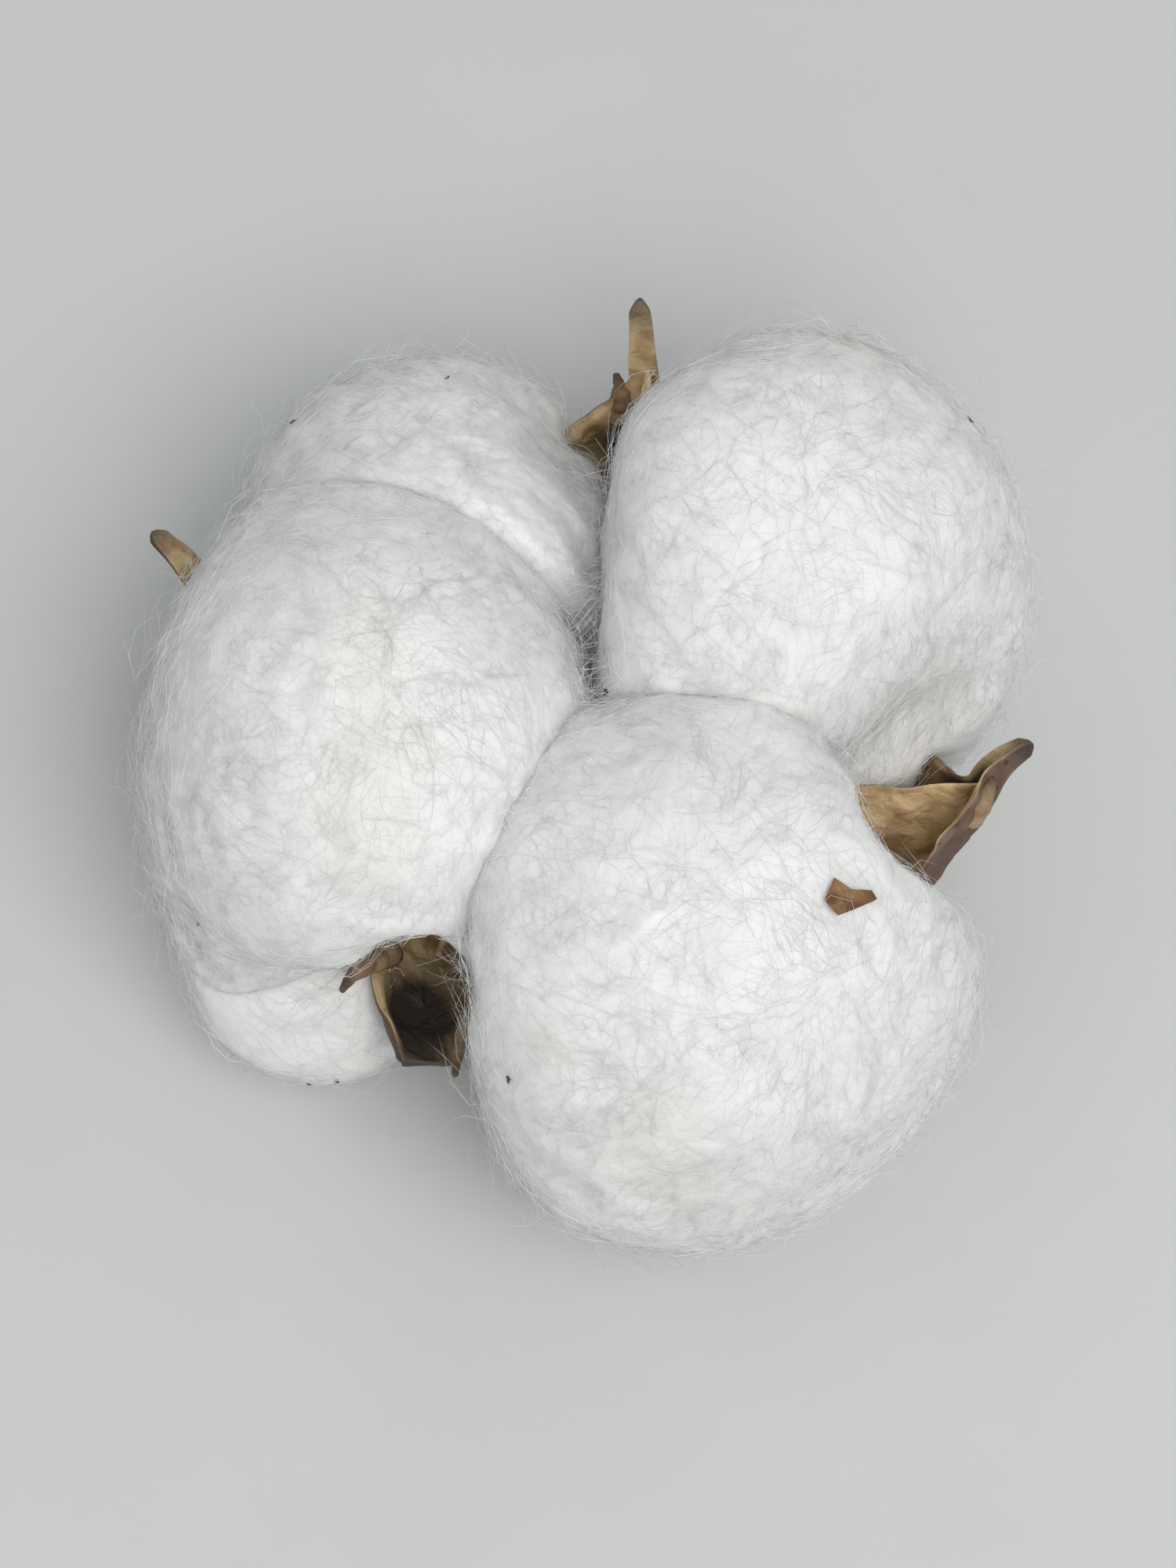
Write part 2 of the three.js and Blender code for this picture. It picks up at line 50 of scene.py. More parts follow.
# %% [markdown]
# ## Words that every step uses
# A few short helpers keep the steps readable: directions of length one, a smooth step, points given by a
# bearing round the axis, and smooth noise. Blender has noise of its own, but numpy noise works on whole
# arrays at once, and a fixed seed makes every run the same.

# %% Directions, steps and noise
MM = 0.001
AXIS = np.array([0.6448, 0.7700, 0.0])  # where the boll's axis stands in the frame, in millimetres
UP = np.array([0.0, 0.0, 1.0])


def unit(vectors):
    """Each vector divided by its length."""
    return vectors / np.linalg.norm(vectors, axis=-1, keepdims=True)


def ramp(values, start, end):
    """The smooth step 3s^2 - 2s^3 of the share s of the way from start to end: 0 before it, 1 after it."""
    share = np.clip((values - start) / (end - start), 0.0, 1.0)
    return share * share * (3.0 - 2.0 * share)


def mix(first, second, share):
    """A share of the way from the first value to the second."""
    return first + (second - first) * share


def polar(bearing, out, height):
    """The point at a bearing in degrees, a distance out from the axis and a height."""
    turn = np.radians(bearing)
    return np.stack(np.broadcast_arrays(out * np.cos(turn), out * np.sin(turn), height), axis=-1)


def waves(points, size, seed, count=22):
    """Smooth noise of about -1 to 1: the sum of cosine waves near one wavelength, in random directions."""
    chance = np.random.default_rng(seed)
    rates = unit(chance.normal(size=(count, 3))) * (2.0 * np.pi / size) * chance.uniform(0.7, 1.4, (count, 1))
    phases = chance.uniform(0.0, 2.0 * np.pi, count)
    return np.cos(points @ rates.T + phases).sum(axis=-1) / math.sqrt(count)


print("the boll's axis stands at", AXIS[:2], "mm in the frame")

# %% [markdown]
# ## From arrays to a mesh
# Nearly every piece of a boll is a ring of points carried along a path: a lock is rings from its underside
# to its top, a valve is rings from its root to its tip, and a fibre is tiny rings along a curve. So one
# table of triangles serves for all of them. foreach_set hands a whole array to Blender in one call, which
# is far faster than a loop.

# %% One way to make a mesh
def tube_triangles(rows, columns):
    """The walls between neighbouring rings, and a fan at each end to one point more: the start's, the end's."""
    here = np.arange(columns)
    beside = (here + 1) % columns
    ring = np.arange(rows - 1)[:, None] * columns
    low, low_next = ring + here, ring + beside
    high, high_next = low + columns, low_next + columns
    walls = np.concatenate([np.stack([low, low_next, high_next], -1), np.stack([low, high_next, high], -1)])
    start, end, last_ring = rows * columns, rows * columns + 1, (rows - 1) * columns
    start_fan = np.stack([np.full(columns, start), beside, here], -1)
    end_fan = np.stack([np.full(columns, end), last_ring + here, last_ring + beside], -1)
    return np.concatenate([walls.reshape(-1, 3), start_fan, end_fan])


def tube(rings, start, end):
    """Points and triangles of a closed tube. rings holds rows of rings, each ring a row of points."""
    rows, columns = rings.shape[:2]
    points = np.concatenate([rings.reshape(-1, 3), np.reshape(start, (1, 3)), np.reshape(end, (1, 3))])
    return points, tube_triangles(rows, columns)


def joined(shells):
    """Several shells of points, triangles and marks as one: triangles move past the points before theirs."""
    starts = np.cumsum([0] + [len(points) for points, _, _ in shells[:-1]])
    points = np.concatenate([points for points, _, _ in shells])
    triangles = np.concatenate([triangles + start for (_, triangles, _), start in zip(shells, starts)])
    names = shells[0][2].keys()
    return points, triangles, {name: np.concatenate([marks[name] for _, _, marks in shells]) for name in names}


def make_piece(name, points, triangles, marks, material, slot, stands_for):
    """A mesh object in metres at the origin. Marks are numbers kept on its points for the material to read."""
    mesh = bpy.data.meshes.new(name)
    mesh.vertices.add(len(points))
    mesh.vertices.foreach_set("co", ((points + AXIS) * MM).astype(np.float32).ravel())
    mesh.loops.add(triangles.size)
    mesh.loops.foreach_set("vertex_index", triangles.astype(np.int32).ravel())
    mesh.polygons.add(len(triangles))
    mesh.polygons.foreach_set("loop_start", np.arange(0, triangles.size, 3, dtype=np.int32))
    mesh.update(calc_edges=True)
    mesh.polygons.foreach_set("use_smooth", np.ones(len(triangles), dtype=bool))
    for mark, values in marks.items():
        mesh.attributes.new(mark, "FLOAT", "POINT").data.foreach_set("value", values.astype(np.float32))
    mesh.materials.append(material)
    piece = bpy.data.objects.new(name, mesh)
    bpy.context.scene.collection.objects.link(piece)
    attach(piece, "root")
    if stands_for:
        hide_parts(stands_for)
    print(f"{name}: {len(triangles)} triangles")
    return piece


# %% [markdown]
# ## Finishes
# Each finish is a Principled shader with its colour and bump worked out from noise on Object coordinates,
# so the pattern is fixed to the piece. Small helpers keep the node trees short. A value that is the same
# all over is set on the shader itself.

# %% Helpers for node trees
def new_finish(name, **constant):
    """A node tree with its Principled shader, and the shader's constant values set on its own sockets."""
    material = bpy.data.materials.new(name)
    material.use_nodes = True
    shader = material.node_tree.nodes["Principled BSDF"]
    for socket, value in constant.items():
        shader.inputs[socket.replace("_", " ")].default_value = value
    return material, material.node_tree, shader


def noise(tree, scale, detail=3.0, stretch=(1.0, 1.0, 1.0), turn=(0.0, 0.0, 0.0), distortion=0.0):
    """Noise on Object coordinates, stretched along one way and turned: scale is its repeats per metre."""
    place = tree.nodes.new("ShaderNodeTexCoord")
    mapping = tree.nodes.new("ShaderNodeMapping")
    mapping.inputs["Scale"].default_value = stretch
    mapping.inputs["Rotation"].default_value = turn
    texture = tree.nodes.new("ShaderNodeTexNoise")
    texture.inputs["Scale"].default_value = scale
    texture.inputs["Detail"].default_value = detail
    texture.inputs["Distortion"].default_value = distortion
    tree.links.new(place.outputs["Object"], mapping.inputs["Vector"])
    tree.links.new(mapping.outputs["Vector"], texture.inputs["Vector"])
    return texture.outputs["Fac"]


def mark(tree, name):
    """A number that the piece keeps on its points."""
    node = tree.nodes.new("ShaderNodeAttribute")
    node.attribute_name = name
    return node.outputs["Fac"]


def between(tree, value, low, high, first, last):
    """A value's range from low to high mapped smoothly to first to last, and held there outside it."""
    node = tree.nodes.new("ShaderNodeMapRange")
    node.interpolation_type = "SMOOTHSTEP"
    for socket, number in zip(("From Min", "From Max", "To Min", "To Max"), (low, high, first, last)):
        node.inputs[socket].default_value = number
    tree.links.new(value, node.inputs["Value"])
    return node.outputs["Result"]


def blend_colours(tree, share, first, second):
    """A colour that goes from the first to the second with share. Each may be a colour or another node's."""
    node = tree.nodes.new("ShaderNodeMix")
    node.data_type = "RGBA"
    tree.links.new(share, node.inputs["Factor"])
    for socket, colour in ((node.inputs[6], first), (node.inputs[7], second)):
        if isinstance(colour, tuple):
            socket.default_value = (*colour, 1.0)
        else:
            tree.links.new(colour, socket)
    return node.outputs[2]


def work_out(tree, how, first, second):
    """Two values joined by one sum, product or other step of arithmetic."""
    node = tree.nodes.new("ShaderNodeMath")
    node.operation = how
    for socket, value in zip(node.inputs, (first, second)):
        if isinstance(value, float):
            socket.default_value = value
        else:
            tree.links.new(value, socket)
    return node.outputs[0]


def bump(tree, shader, height, depth):
    """Relief: the height from 0 to 1 stands for a depth in metres."""
    node = tree.nodes.new("ShaderNodeBump")
    node.inputs["Strength"].default_value = 1.0
    node.inputs["Distance"].default_value = depth
    tree.links.new(height, node.inputs["Height"])
    tree.links.new(node.outputs["Normal"], shader.inputs["Normal"])


# %% [markdown]
# ## The lint's finish
# Lint is thousands of thin clear fibres, so light goes in, scatters and comes out soft and white.
# Subsurface light gives that depth to the body of a lock. Its Burley kind is chosen because a random walk
# through a body this white is slow and looks much the same, and all colours go as deep, so that creases
# stay white. The loose fibres are meshes of their own and need only a plain white. Weather leaves faint
# cream patches, and crossed streaks of stretched noise stand for fibres too fine to model.

# %% Lint
LINT_WHITE = (0.90, 0.90, 0.895)
LINT_SHADE = (0.85, 0.853, 0.853)
LINT_CREAM = (0.86, 0.84, 0.785)


def lint_finish():
    """Body of a lock: white with soft grey clouds, rare cream patches and fine crossed streaks."""
    material, tree, shader = new_finish(
        "lint_soft", Roughness=1.0, Sheen_Weight=0.15,
        Subsurface_Weight=0.8, Subsurface_Scale=0.0012, Subsurface_Radius=(1.0, 1.0, 1.0))
    shader.subsurface_method = "BURLEY"
    clouds = between(tree, noise(tree, 160.0), 0.35, 0.65, 0.0, 1.0)
    cream = between(tree, noise(tree, 48.0, detail=2.0), 0.56, 0.74, 0.0, 0.8)
    white = blend_colours(tree, clouds, LINT_SHADE, LINT_WHITE)
    tree.links.new(blend_colours(tree, cream, white, LINT_CREAM), shader.inputs["Base Color"])
    streaks = work_out(
        tree, "ADD",
        noise(tree, 520.0, stretch=(4.0, 0.7, 1.0), turn=(0.3, 0.2, 0.7), distortion=1.2),
        noise(tree, 520.0, stretch=(0.7, 4.0, 1.0), turn=(0.6, 0.4, 0.2), distortion=1.2))
    bump(tree, shader, streaks, 0.00008)
    return material


def fibre_finish():
    """Loose fibres: white, dull, with a little colour change from clump to clump."""
    material, tree, shader = new_finish("lint_fibre", Roughness=0.9, Sheen_Weight=0.1)
    clumps = between(tree, noise(tree, 260.0), 0.35, 0.65, 0.0, 1.0)
    tree.links.new(blend_colours(tree, clumps, LINT_SHADE, (0.92, 0.92, 0.915)), shader.inputs["Base Color"])
    return material


LINT_FINISH = lint_finish()
FIBRE_FINISH = fibre_finish()

# %% [markdown]
# ## The locks of lint
# When the capsule bursts, each of its chambers lets out one lock: a pillow of lint pressed by its
# neighbours. A sculpted mesh would do, but a formula keeps the pillow close to the solid in the frame. For
# each direction from the lock's centre it takes the radius of an ellipsoid, dents it beside the valves, and
# cuts it softly at the walls between locks. The left lock sags out low under the front valve, so it has a
# second, smaller pillow, the lobe. Fine noise then adds the clumps that fibres gather in.

# %% The valves' numbers
VALVES = {
    "back": dict(bearing=80, bend=(30.0, 8.0), shoulder=(25.4, 19.0), tip=(3.0, 32.0, 27.0), cup=0.6,
                 wide=(1.0, 1.0), narrows=(0.7, 0.66), teeth=[(0.7, -0.55, 4.0, 0.0, 0.0)]),
    "left": dict(bearing=158, bend=(32.0, 8.0), shoulder=(28.5, 18.0), tip=(-31.0, 16.4, 22.0), cup=0.5,
                 wide=(1.0, 1.0), narrows=(0.72, 0.72), teeth=[(0.7, 0.6, 2.0, 0.0, 0.0)]),
    "front": dict(bearing=221, bend=(15.0, 9.5), shoulder=(20.0, 14.0), tip=(-13.4, -20.8, 16.0), cup=0.75,
                  wide=(0.62, 0.66), narrows=(1.15, 0.86),
                  teeth=[(0.71, 0.9, 8.0, 20.0, 14.0), (0.6, -1.0, 9.5, -6.0, 0.0)]),
    "right": dict(bearing=344, bend=(32.0, 8.0), shoulder=(22.6, 21.8), tip=(29.6, -0.6, 25.0), cup=0.8,
                  wide=(1.0, 1.0), narrows=(0.7, 0.84), teeth=[(0.8, 0.5, 4.0, 0.0, 0.0)]),
}
VALVE_ROOT, SHOULDER_TURN = (3.5, 7.8), 0.4
HEART = np.array([0.0, 0.0, 26.0])  # the point that every valve's inner face looks to
HALF_WIDTH = dict(root=3.6, widest=6.8, shoulder=5.4, spike=1.25, tip=0.75)
WIDEST_PLACE, NARROWING, ROOT_CUP = 0.46, 0.09, 0.08
CUP_GROWS = (0.2, 0.65)  # the places along a valve between which its cup grows
TOOTH_RADIUS, TOOTH_SUNK = 1.1, 1.2  # at a tooth's root, and how deep the root is set in the blade


def valve_frame(name, place):
    """Points on a valve's centre line, a cubic Bezier curve, with the directions along, inward and across."""
    valve = VALVES[name]
    tip = np.array(valve["tip"])
    turn = (math.degrees(math.atan2(tip[1], tip[0])) - valve["bearing"] + 180.0) % 360.0 - 180.0
    shoulder = polar(valve["bearing"] + turn * SHOULDER_TURN, *valve["shoulder"])
    corners = [polar(valve["bearing"], *VALVE_ROOT), polar(valve["bearing"], *valve["bend"]), shoulder, tip]
    s = np.asarray(place, float)[..., None]
    weights = [(1 - s) ** 3, 3 * s * (1 - s) ** 2, 3 * s ** 2 * (1 - s), s ** 3]
    at = sum(weight * corner for weight, corner in zip(weights, corners))
    slopes = [(1 - s) ** 2, 2 * s * (1 - s), s ** 2]
    along = unit(sum(w * (b - a) for w, a, b in zip(slopes, corners[:-1], corners[1:])))
    to_heart = HEART - at
    inward = unit(to_heart - along * (to_heart * along).sum(-1, keepdims=True))
    return at, along, inward, np.cross(along, inward)


def half_width(name, place, share):
    """Half the valve's width: it swells to the middle, and past its shoulder each side narrows to the spike."""
    w = HALF_WIDTH
    swell = mix(w["root"], w["widest"], np.sin(np.pi / 2 * np.minimum(place / WIDEST_PLACE, 1.0)))
    taper = mix(w["widest"], w["shoulder"], (place - WIDEST_PLACE) / (1 - WIDEST_PLACE))
    body = np.where(place < WIDEST_PLACE, swell, taper) * np.where(share < 0, *VALVES[name]["wide"])
    narrows = np.where(share < 0, *VALVES[name]["narrows"])
    thin = mix(w["spike"], w["tip"], ramp(place, narrows, 1.0))
    return mix(body, thin, ramp(place, narrows - NARROWING, narrows + NARROWING))


def valve_cup(name, place):
    """How far the edges curl towards the lint, per half width: little at the root, more towards the end."""
    return mix(ROOT_CUP, VALVES[name]["cup"], ramp(place, *CUP_GROWS))


def valve_face(name, place, share):
    """Points on a valve's middle surface, at a place along it and a share across it."""
    at, along, inward, across = valve_frame(name, place)
    half = half_width(name, place, share)
    curl = valve_cup(name, place) * half * share ** 2
    return at + across * (share * half)[..., None] + inward * curl[..., None]


def tooth_line(name, place, share, length, lean, rise):
    """Root and tip of a broken point on a valve: it goes along the blade, turned by a lean and a rise."""
    _, along, inward, across = valve_frame(name, place)
    turn = math.radians(lean)
    way = unit(along * math.cos(turn) + across * math.sin(turn) + inward * math.tan(math.radians(rise)))
    root = valve_face(name, np.array(place), np.array(share)) - way * TOOTH_SUNK
    return root, root + way * length


print("valves:", ", ".join(VALVES))

# %% The pillows' numbers
LOCKS = {
    "right": dict(bearing=43, out=16.5, height=20.9, along=18.2, across=17.6, up=22.5, seed=1),
    "front": dict(bearing=292, out=16.5, height=20.2, along=18.4, across=19.4, up=22.3, seed=2),
    "left": dict(bearing=186, out=15.6, height=20.2, along=16.0, across=20.5, up=21.9, seed=3),
    "back": dict(bearing=124, out=19.2, height=15.4, along=15.4, across=14.8, up=16.6, seed=4),
    "left_low": dict(
        bearing=211, out=21.0, height=10.0, along=10.0, across=8.6, up=8.3, seed=5, lobe_of="left"),
}
DENTS = {
    "right": [dict(at=(20, 1, 25), depth=0.26, spread=24), dict(at=(3, 24, 27), depth=0.2, spread=22)],
    "front": [dict(at=(-12, -19.5, 19), depth=0.25, spread=32), dict(at=(20, -4, 27), depth=0.3, spread=22)],
    "left": [dict(at=(-16, -16, 19), depth=0.5, spread=27)],
    "back": [dict(at=(0, 24, 26), depth=0.2, spread=24)],
    "left_low": [dict(at=(-15.5, -14.5, 18), depth=0.3, spread=42)],
}
WALLS = [
    dict(between=("right", "front"), at=(0, 0, 21), bearing=262, lean=0, fillet=9.0),
    dict(between=("front", "left"), at=(-1, 0, 21), bearing=155, lean=0, fillet=10.0),
    dict(between=("right", "left"), at=(0.2, 6, 21), bearing=178, lean=0, fillet=8.0),
    dict(between=("right", "back"), at=(0.2, 12, 21), bearing=178, lean=0, fillet=6.0),
    dict(between=("left", "back"), at=(-10, 11, 24), bearing=75, lean=16, fillet=9.0),
]
STALK_HOLLOW = dict(out=6.5, height=4.0, slant=30)
WALL_GAP = 0.1
STOP_PLACES, STOP_REACH, STOP_CLEAR, STOP_FIRMNESS = (0.06, 0.86), 26.0, 0.7, 14.0
STOP_RELEASE, RELEASE_HEIGHTS = (110.0, 260.0), (9.0, 15.0)  # how fast a stop lets go, low down and higher up
STOP_GRID, HOLLOW_GRID = (36, 15), (20, 8, 24)  # points along a face, across it and up from it
STOP_SHARES = dict(back=(-0.8, 0.8), left=(-0.8, 0.8), front=(-0.8, 1.0), right=(-0.8, 0.8))
HOLLOWS = [  # where a valve's lint has gone: places along its face, shares across, how far up, slant forward
    ("front", (0.4, 0.76), (0.05, 0.8), 14.0, 20.0),
    ("front", (0.42, 0.6), (-0.45, 0.0), 20.0, 20.0),
    ("front", (0.55, 1.0), (-0.7, 0.0), 20.0, 20.0),
    ("right", (0.26, 0.86), (0.05, 0.95), 20.0, 0.0),
    ("back", (0.5, 0.8), (-0.8, 0.5), 12.0, 0.0),
]
TABLE_ROWS, TABLE_COLUMNS, SOFTENINGS = 161, 320, 7
FILLET_FADES, FILLET_HEIGHTS = (14.0, 21.0), (14.0, 20.0)  # fillets end this far out and start this high
FUSED = [("left_low", "left", 7.0), ("back", "left", 9.0)]  # forms whose whole joint is filled, and how wide
LOBES = {name: lock["lobe_of"] for name, lock in LOCKS.items() if "lobe_of" in lock}
FIRMNESS = 14.0
LUMP_SHARE = 0.025
LUMP_RATES = np.array([[3.1, 1.7, 0.0], [0.0, 2.9, -2.2], [3.9, 0.0, 4.7]])
LUMP_STEPS = np.array([2.3, 1.3, -1.9])
CLUMPS = [(6.0, 0.20), (2.6, 0.07), (1.1, 0.03)]  # wavelength and height of the clumps
BILLOW_LEVEL = 0.6  # a clump's crest, above the creases where the noise crosses nought


def lock_centre(name):
    """The point that a lock's pillow is shaped round."""
    lock = LOCKS[name]
    return polar(lock["bearing"], lock["out"], lock["height"])


def pressing_faces(name):
    """The outward direction and the distance from the lock's centre of each face that presses on it."""
    faces = []
    owner = LOBES.get(name, name)
    for wall in WALLS:
        if owner in wall["between"]:
            lean = math.radians(wall["lean"])
            outward = polar(wall["bearing"], math.cos(lean), -math.sin(lean))
            outward = outward if wall["between"][0] == owner else -outward
            faces.append((outward, (np.array(wall["at"]) - lock_centre(name)) @ outward - WALL_GAP))
    slant = math.radians(STALK_HOLLOW["slant"])
    under = polar(LOCKS[name]["bearing"], -math.cos(slant), -math.sin(slant))
    hollow = polar(LOCKS[name]["bearing"], STALK_HOLLOW["out"], STALK_HOLLOW["height"])
    return faces + [(under, (hollow - lock_centre(name)) @ under)]


def pillow_radius(name, ways):
    """The ellipsoid's radius in each direction, with broad lumps, and less in round dents beside the valves."""
    lock = LOCKS[name]
    turn = math.radians(lock["bearing"])
    outward = ways[..., 0] * math.cos(turn) + ways[..., 1] * math.sin(turn)
    sideways = ways[..., 1] * math.cos(turn) - ways[..., 0] * math.sin(turn)
    scaled = np.stack([outward / lock["along"], sideways / lock["across"], ways[..., 2] / lock["up"]], -1)
    radius = 1.0 / np.linalg.norm(scaled, axis=-1)
    radius = radius * (1.0 + LUMP_SHARE * np.sin(ways @ LUMP_RATES.T + LUMP_STEPS * lock["seed"]).mean(-1))
    for dent in DENTS[name]:
        middle = unit(np.array(dent["at"], float) - lock_centre(name))
        angle = np.degrees(np.arccos(np.clip(ways @ middle, -1.0, 1.0))) / dent["spread"]
        radius = radius * (1.0 - dent["depth"] * np.exp(-angle * angle))
    return radius


def valve_stops(name):
    """Where wood or a hollow stops the lint: from the lock's centre, directions and distances of points on each
    valve's face, and of points above the stretches of a face whose lint has gone."""
    faces = []
    for valve, shares in STOP_SHARES.items():
        spans = zip((STOP_PLACES, shares), STOP_GRID)
        place, share = np.meshgrid(*[np.linspace(*span, count) for span, count in spans], indexing="ij")
        faces.append(valve_face(valve, place, share).reshape(-1, 3))
    for valve, places, shares, rise, slant in HOLLOWS:
        spans = zip((places, shares, (0.0, rise)), HOLLOW_GRID)
        place, share, above = np.meshgrid(*[np.linspace(*span, count) for span, count in spans], indexing="ij")
        upward = polar(-90.0, math.sin(math.radians(slant)), math.cos(math.radians(slant)))
        faces.append((valve_face(valve, place, share) + above[..., None] * upward).reshape(-1, 3))
    faces = np.concatenate(faces)
    stops = faces - lock_centre(name)
    far = np.linalg.norm(stops, axis=-1)
    near = far < STOP_REACH
    release = mix(*STOP_RELEASE, ramp(faces[near, 2], *RELEASE_HEIGHTS))
    return stops[near] / far[near, None], far[near] - STOP_CLEAR, release


def grid_ways(rows, columns):
    """Directions on a grid: rows of tilt from straight down to straight up, columns of turn round the axis."""
    tilt, turn = np.meshgrid(
        np.linspace(0.0, np.pi, rows), 2.0 * np.pi * np.arange(columns) / columns, indexing="ij")
    return np.stack([np.sin(tilt) * np.cos(turn), np.sin(tilt) * np.sin(turn), -np.cos(tilt)], -1)


def free_radius(name, ways):
    """A soft minimum of the pillow and of the pressing faces: the power mean that leans to the smallest."""
    total = pillow_radius(name, ways) ** -FIRMNESS
    for outward, distance in pressing_faces(name):
        total = total + (np.maximum(ways @ outward, 0.0) / distance) ** FIRMNESS
    return total ** (-1.0 / FIRMNESS)


def softened(table):
    """The table with its sharp edges blurred: again and again the mean of each value and its neighbours,
    weighted 1 2 1, round the axis and then up it, with one value at each pole."""
    for _ in range(SOFTENINGS):
        table = (np.roll(table, 1, axis=1) + 2.0 * table + np.roll(table, -1, axis=1)) / 4.0
        padded = np.concatenate([table[:1], table, table[-1:]])
        table = (padded[:-2] + 2.0 * table + padded[2:]) / 4.0
    table[[0, -1]] = table[[0, -1]].mean(axis=1, keepdims=True)
    return table


def radius_table(name):
    """The lock's radius on a grid of directions: the soft minimum of its free radius and of the least of its
    stops, each of which lets go with the square of the angle from it."""
    ways = grid_ways(TABLE_ROWS, TABLE_COLUMNS)
    stop_ways, stop_far, release = valve_stops(name)
    held = np.stack([(stop_far + release * (2.0 - 2.0 * row @ stop_ways.T)).min(axis=1) for row in ways])
    total = free_radius(name, ways) ** -STOP_FIRMNESS + held ** -STOP_FIRMNESS
    return softened(total ** (-1.0 / STOP_FIRMNESS))


TABLES = {name: radius_table(name) for name in LOCKS}


def lock_radius(name, ways):
    """The radius read from the lock's table, in proportion between the four grid directions round each one."""
    table = TABLES[name]
    row = np.arccos(np.clip(-ways[..., 2], -1.0, 1.0)) / np.pi * (TABLE_ROWS - 1)
    column = np.arctan2(ways[..., 1], ways[..., 0]) % (2.0 * np.pi) / (2.0 * np.pi) * TABLE_COLUMNS
    low = np.minimum(row.astype(int), TABLE_ROWS - 2)
    left = column.astype(int) % TABLE_COLUMNS
    right = (left + 1) % TABLE_COLUMNS
    across = column - column.astype(int)
    below = mix(table[low, left], table[low, right], across)
    above = mix(table[low + 1, left], table[low + 1, right], across)
    return mix(below, above, row - low)


def fillet(points, other, width):
    """How far the lint swells to fill the groove to another form: k/4 (1 - g/k)^2 for a gap g less than the
    width k, which makes the smooth union of the two."""
    apart = points - lock_centre(other)
    far = np.linalg.norm(apart, axis=-1)
    gap = np.maximum(far - lock_radius(other, apart / far[..., None]), 0.0)
    return width / 4.0 * np.maximum(1.0 - gap / width, 0.0) ** 2


def fillets(name, points):
    """The fillet to each neighbour, in the middle of the boll only, and the ones between fused forms."""
    middle = 1.0 - ramp(np.hypot(points[..., 0], points[..., 1]), *FILLET_FADES)
    swell = np.zeros(points.shape[:-1])
    for wall in WALLS:
        if name in wall["between"]:
            other = wall["between"][1 - wall["between"].index(name)]
            swell = np.maximum(swell, fillet(points, other, wall["fillet"]))
    swell = swell * middle * ramp(points[..., 2], *FILLET_HEIGHTS)
    for first, second, width in FUSED:
        if name in (first, second):
            swell = np.maximum(swell, fillet(points, second if name == first else first, width))
    return swell


def lint_points(name, ways, lift=0.0):
    """Points on a lock's lint in each direction: clumps like small billows, and never below the ground."""
    centre = lock_centre(name)
    points = centre + ways * lock_radius(name, ways)[..., None]
    points = points + ways * fillets(name, points)[..., None]
    for octave, (size, height) in enumerate(CLUMPS):
        billow = BILLOW_LEVEL - np.abs(waves(points, size, 40 + 7 * LOCKS[name]["seed"] + octave))
        points = points + ways * (height * billow)[..., None]
    points = points + ways * np.reshape(lift, (*np.shape(lift), 1))
    points[..., 2] = np.maximum(points[..., 2], 0.0)
    return points


# %% The lint bodies
ROWS_PER_MM = 5  # rings for each millimetre of a lock's half height


def lint_body(name):
    """Rings of directions from the lock's underside to its top, each direction carried out to the lint."""
    rows = round(ROWS_PER_MM * LOCKS[name]["up"])
    points = lint_points(name, grid_ways(rows, 2 * rows))
    return tube(points[1:-1], points[0, 0], points[-1, 0])


for lock_name in LOCKS:
    solid_name = f"lock_{LOBES.get(lock_name, lock_name)}"
    make_piece(f"lint_{lock_name}", *lint_body(lock_name), {}, LINT_FINISH, "lint", solid_name)

# %% [markdown]
# ## Fibres on the lint
# A lock is never smooth: fibres lie over it, loop out of it and stand off its edge as a soft halo. Hair
# particles are quick to make but stay behind when a model is exported, so the fibres here are meshes:
# threads with three sides and a point at each end. Each one is a short walk over the lock's directions,
# carried out to the lint like the body is.

# %% Threads
THREAD_SIDES = 3
BARE_SHARE, BARE_HEIGHT = 0.86, 1.2  # lint is bare where it keeps this share of its pillow, above this height
GRAIN_SIZE, GRAIN_STRAY, FIBRE_WIGGLE = 16.0, 0.55, 0.012


def threads(paths, thick):
    """Three-sided threads along paths, one path per row, widest in the middle and pointed at both ends."""
    count, steps = paths.shape[:2]
    along = unit(np.gradient(paths, axis=1) + 1e-9)
    side = unit(np.cross(along, unit(paths - paths.mean(axis=(0, 1))) + 1e-6))
    over = np.cross(along, side)
    taper = np.sin(np.pi * np.linspace(0.0, 1.0, steps)) ** 0.5
    width = thick[:, None, None] * taper[None, :, None]
    turns = 2.0 * np.pi * np.arange(THREAD_SIDES) / THREAD_SIDES
    rings = [paths + width * (math.cos(a) * side + math.sin(a) * over) for a in turns]
    middle = np.stack(rings, axis=2)[:, 1:-1].reshape(count, -1, 3)
    points = np.concatenate([middle, paths[:, :1], paths[:, -1:]], axis=1)
    pattern = tube_triangles(steps - 2, THREAD_SIDES)
    triangles = pattern[None] + (np.arange(count) * points.shape[1])[:, None, None]
    return points.reshape(-1, 3), triangles.reshape(-1, 3), {}


def open_ways(name, count, chance):
    """Random directions where a lock's lint is bare: not pressed by a neighbour, and clear of the ground."""
    ways = unit(chance.normal(size=(count * 4, 3)))
    radius = lock_radius(name, ways)
    height = lock_centre(name)[2] + ways[:, 2] * radius
    bare = (radius > BARE_SHARE * pillow_radius(name, ways)) & (height > BARE_HEIGHT)
    return ways[bare][:count]


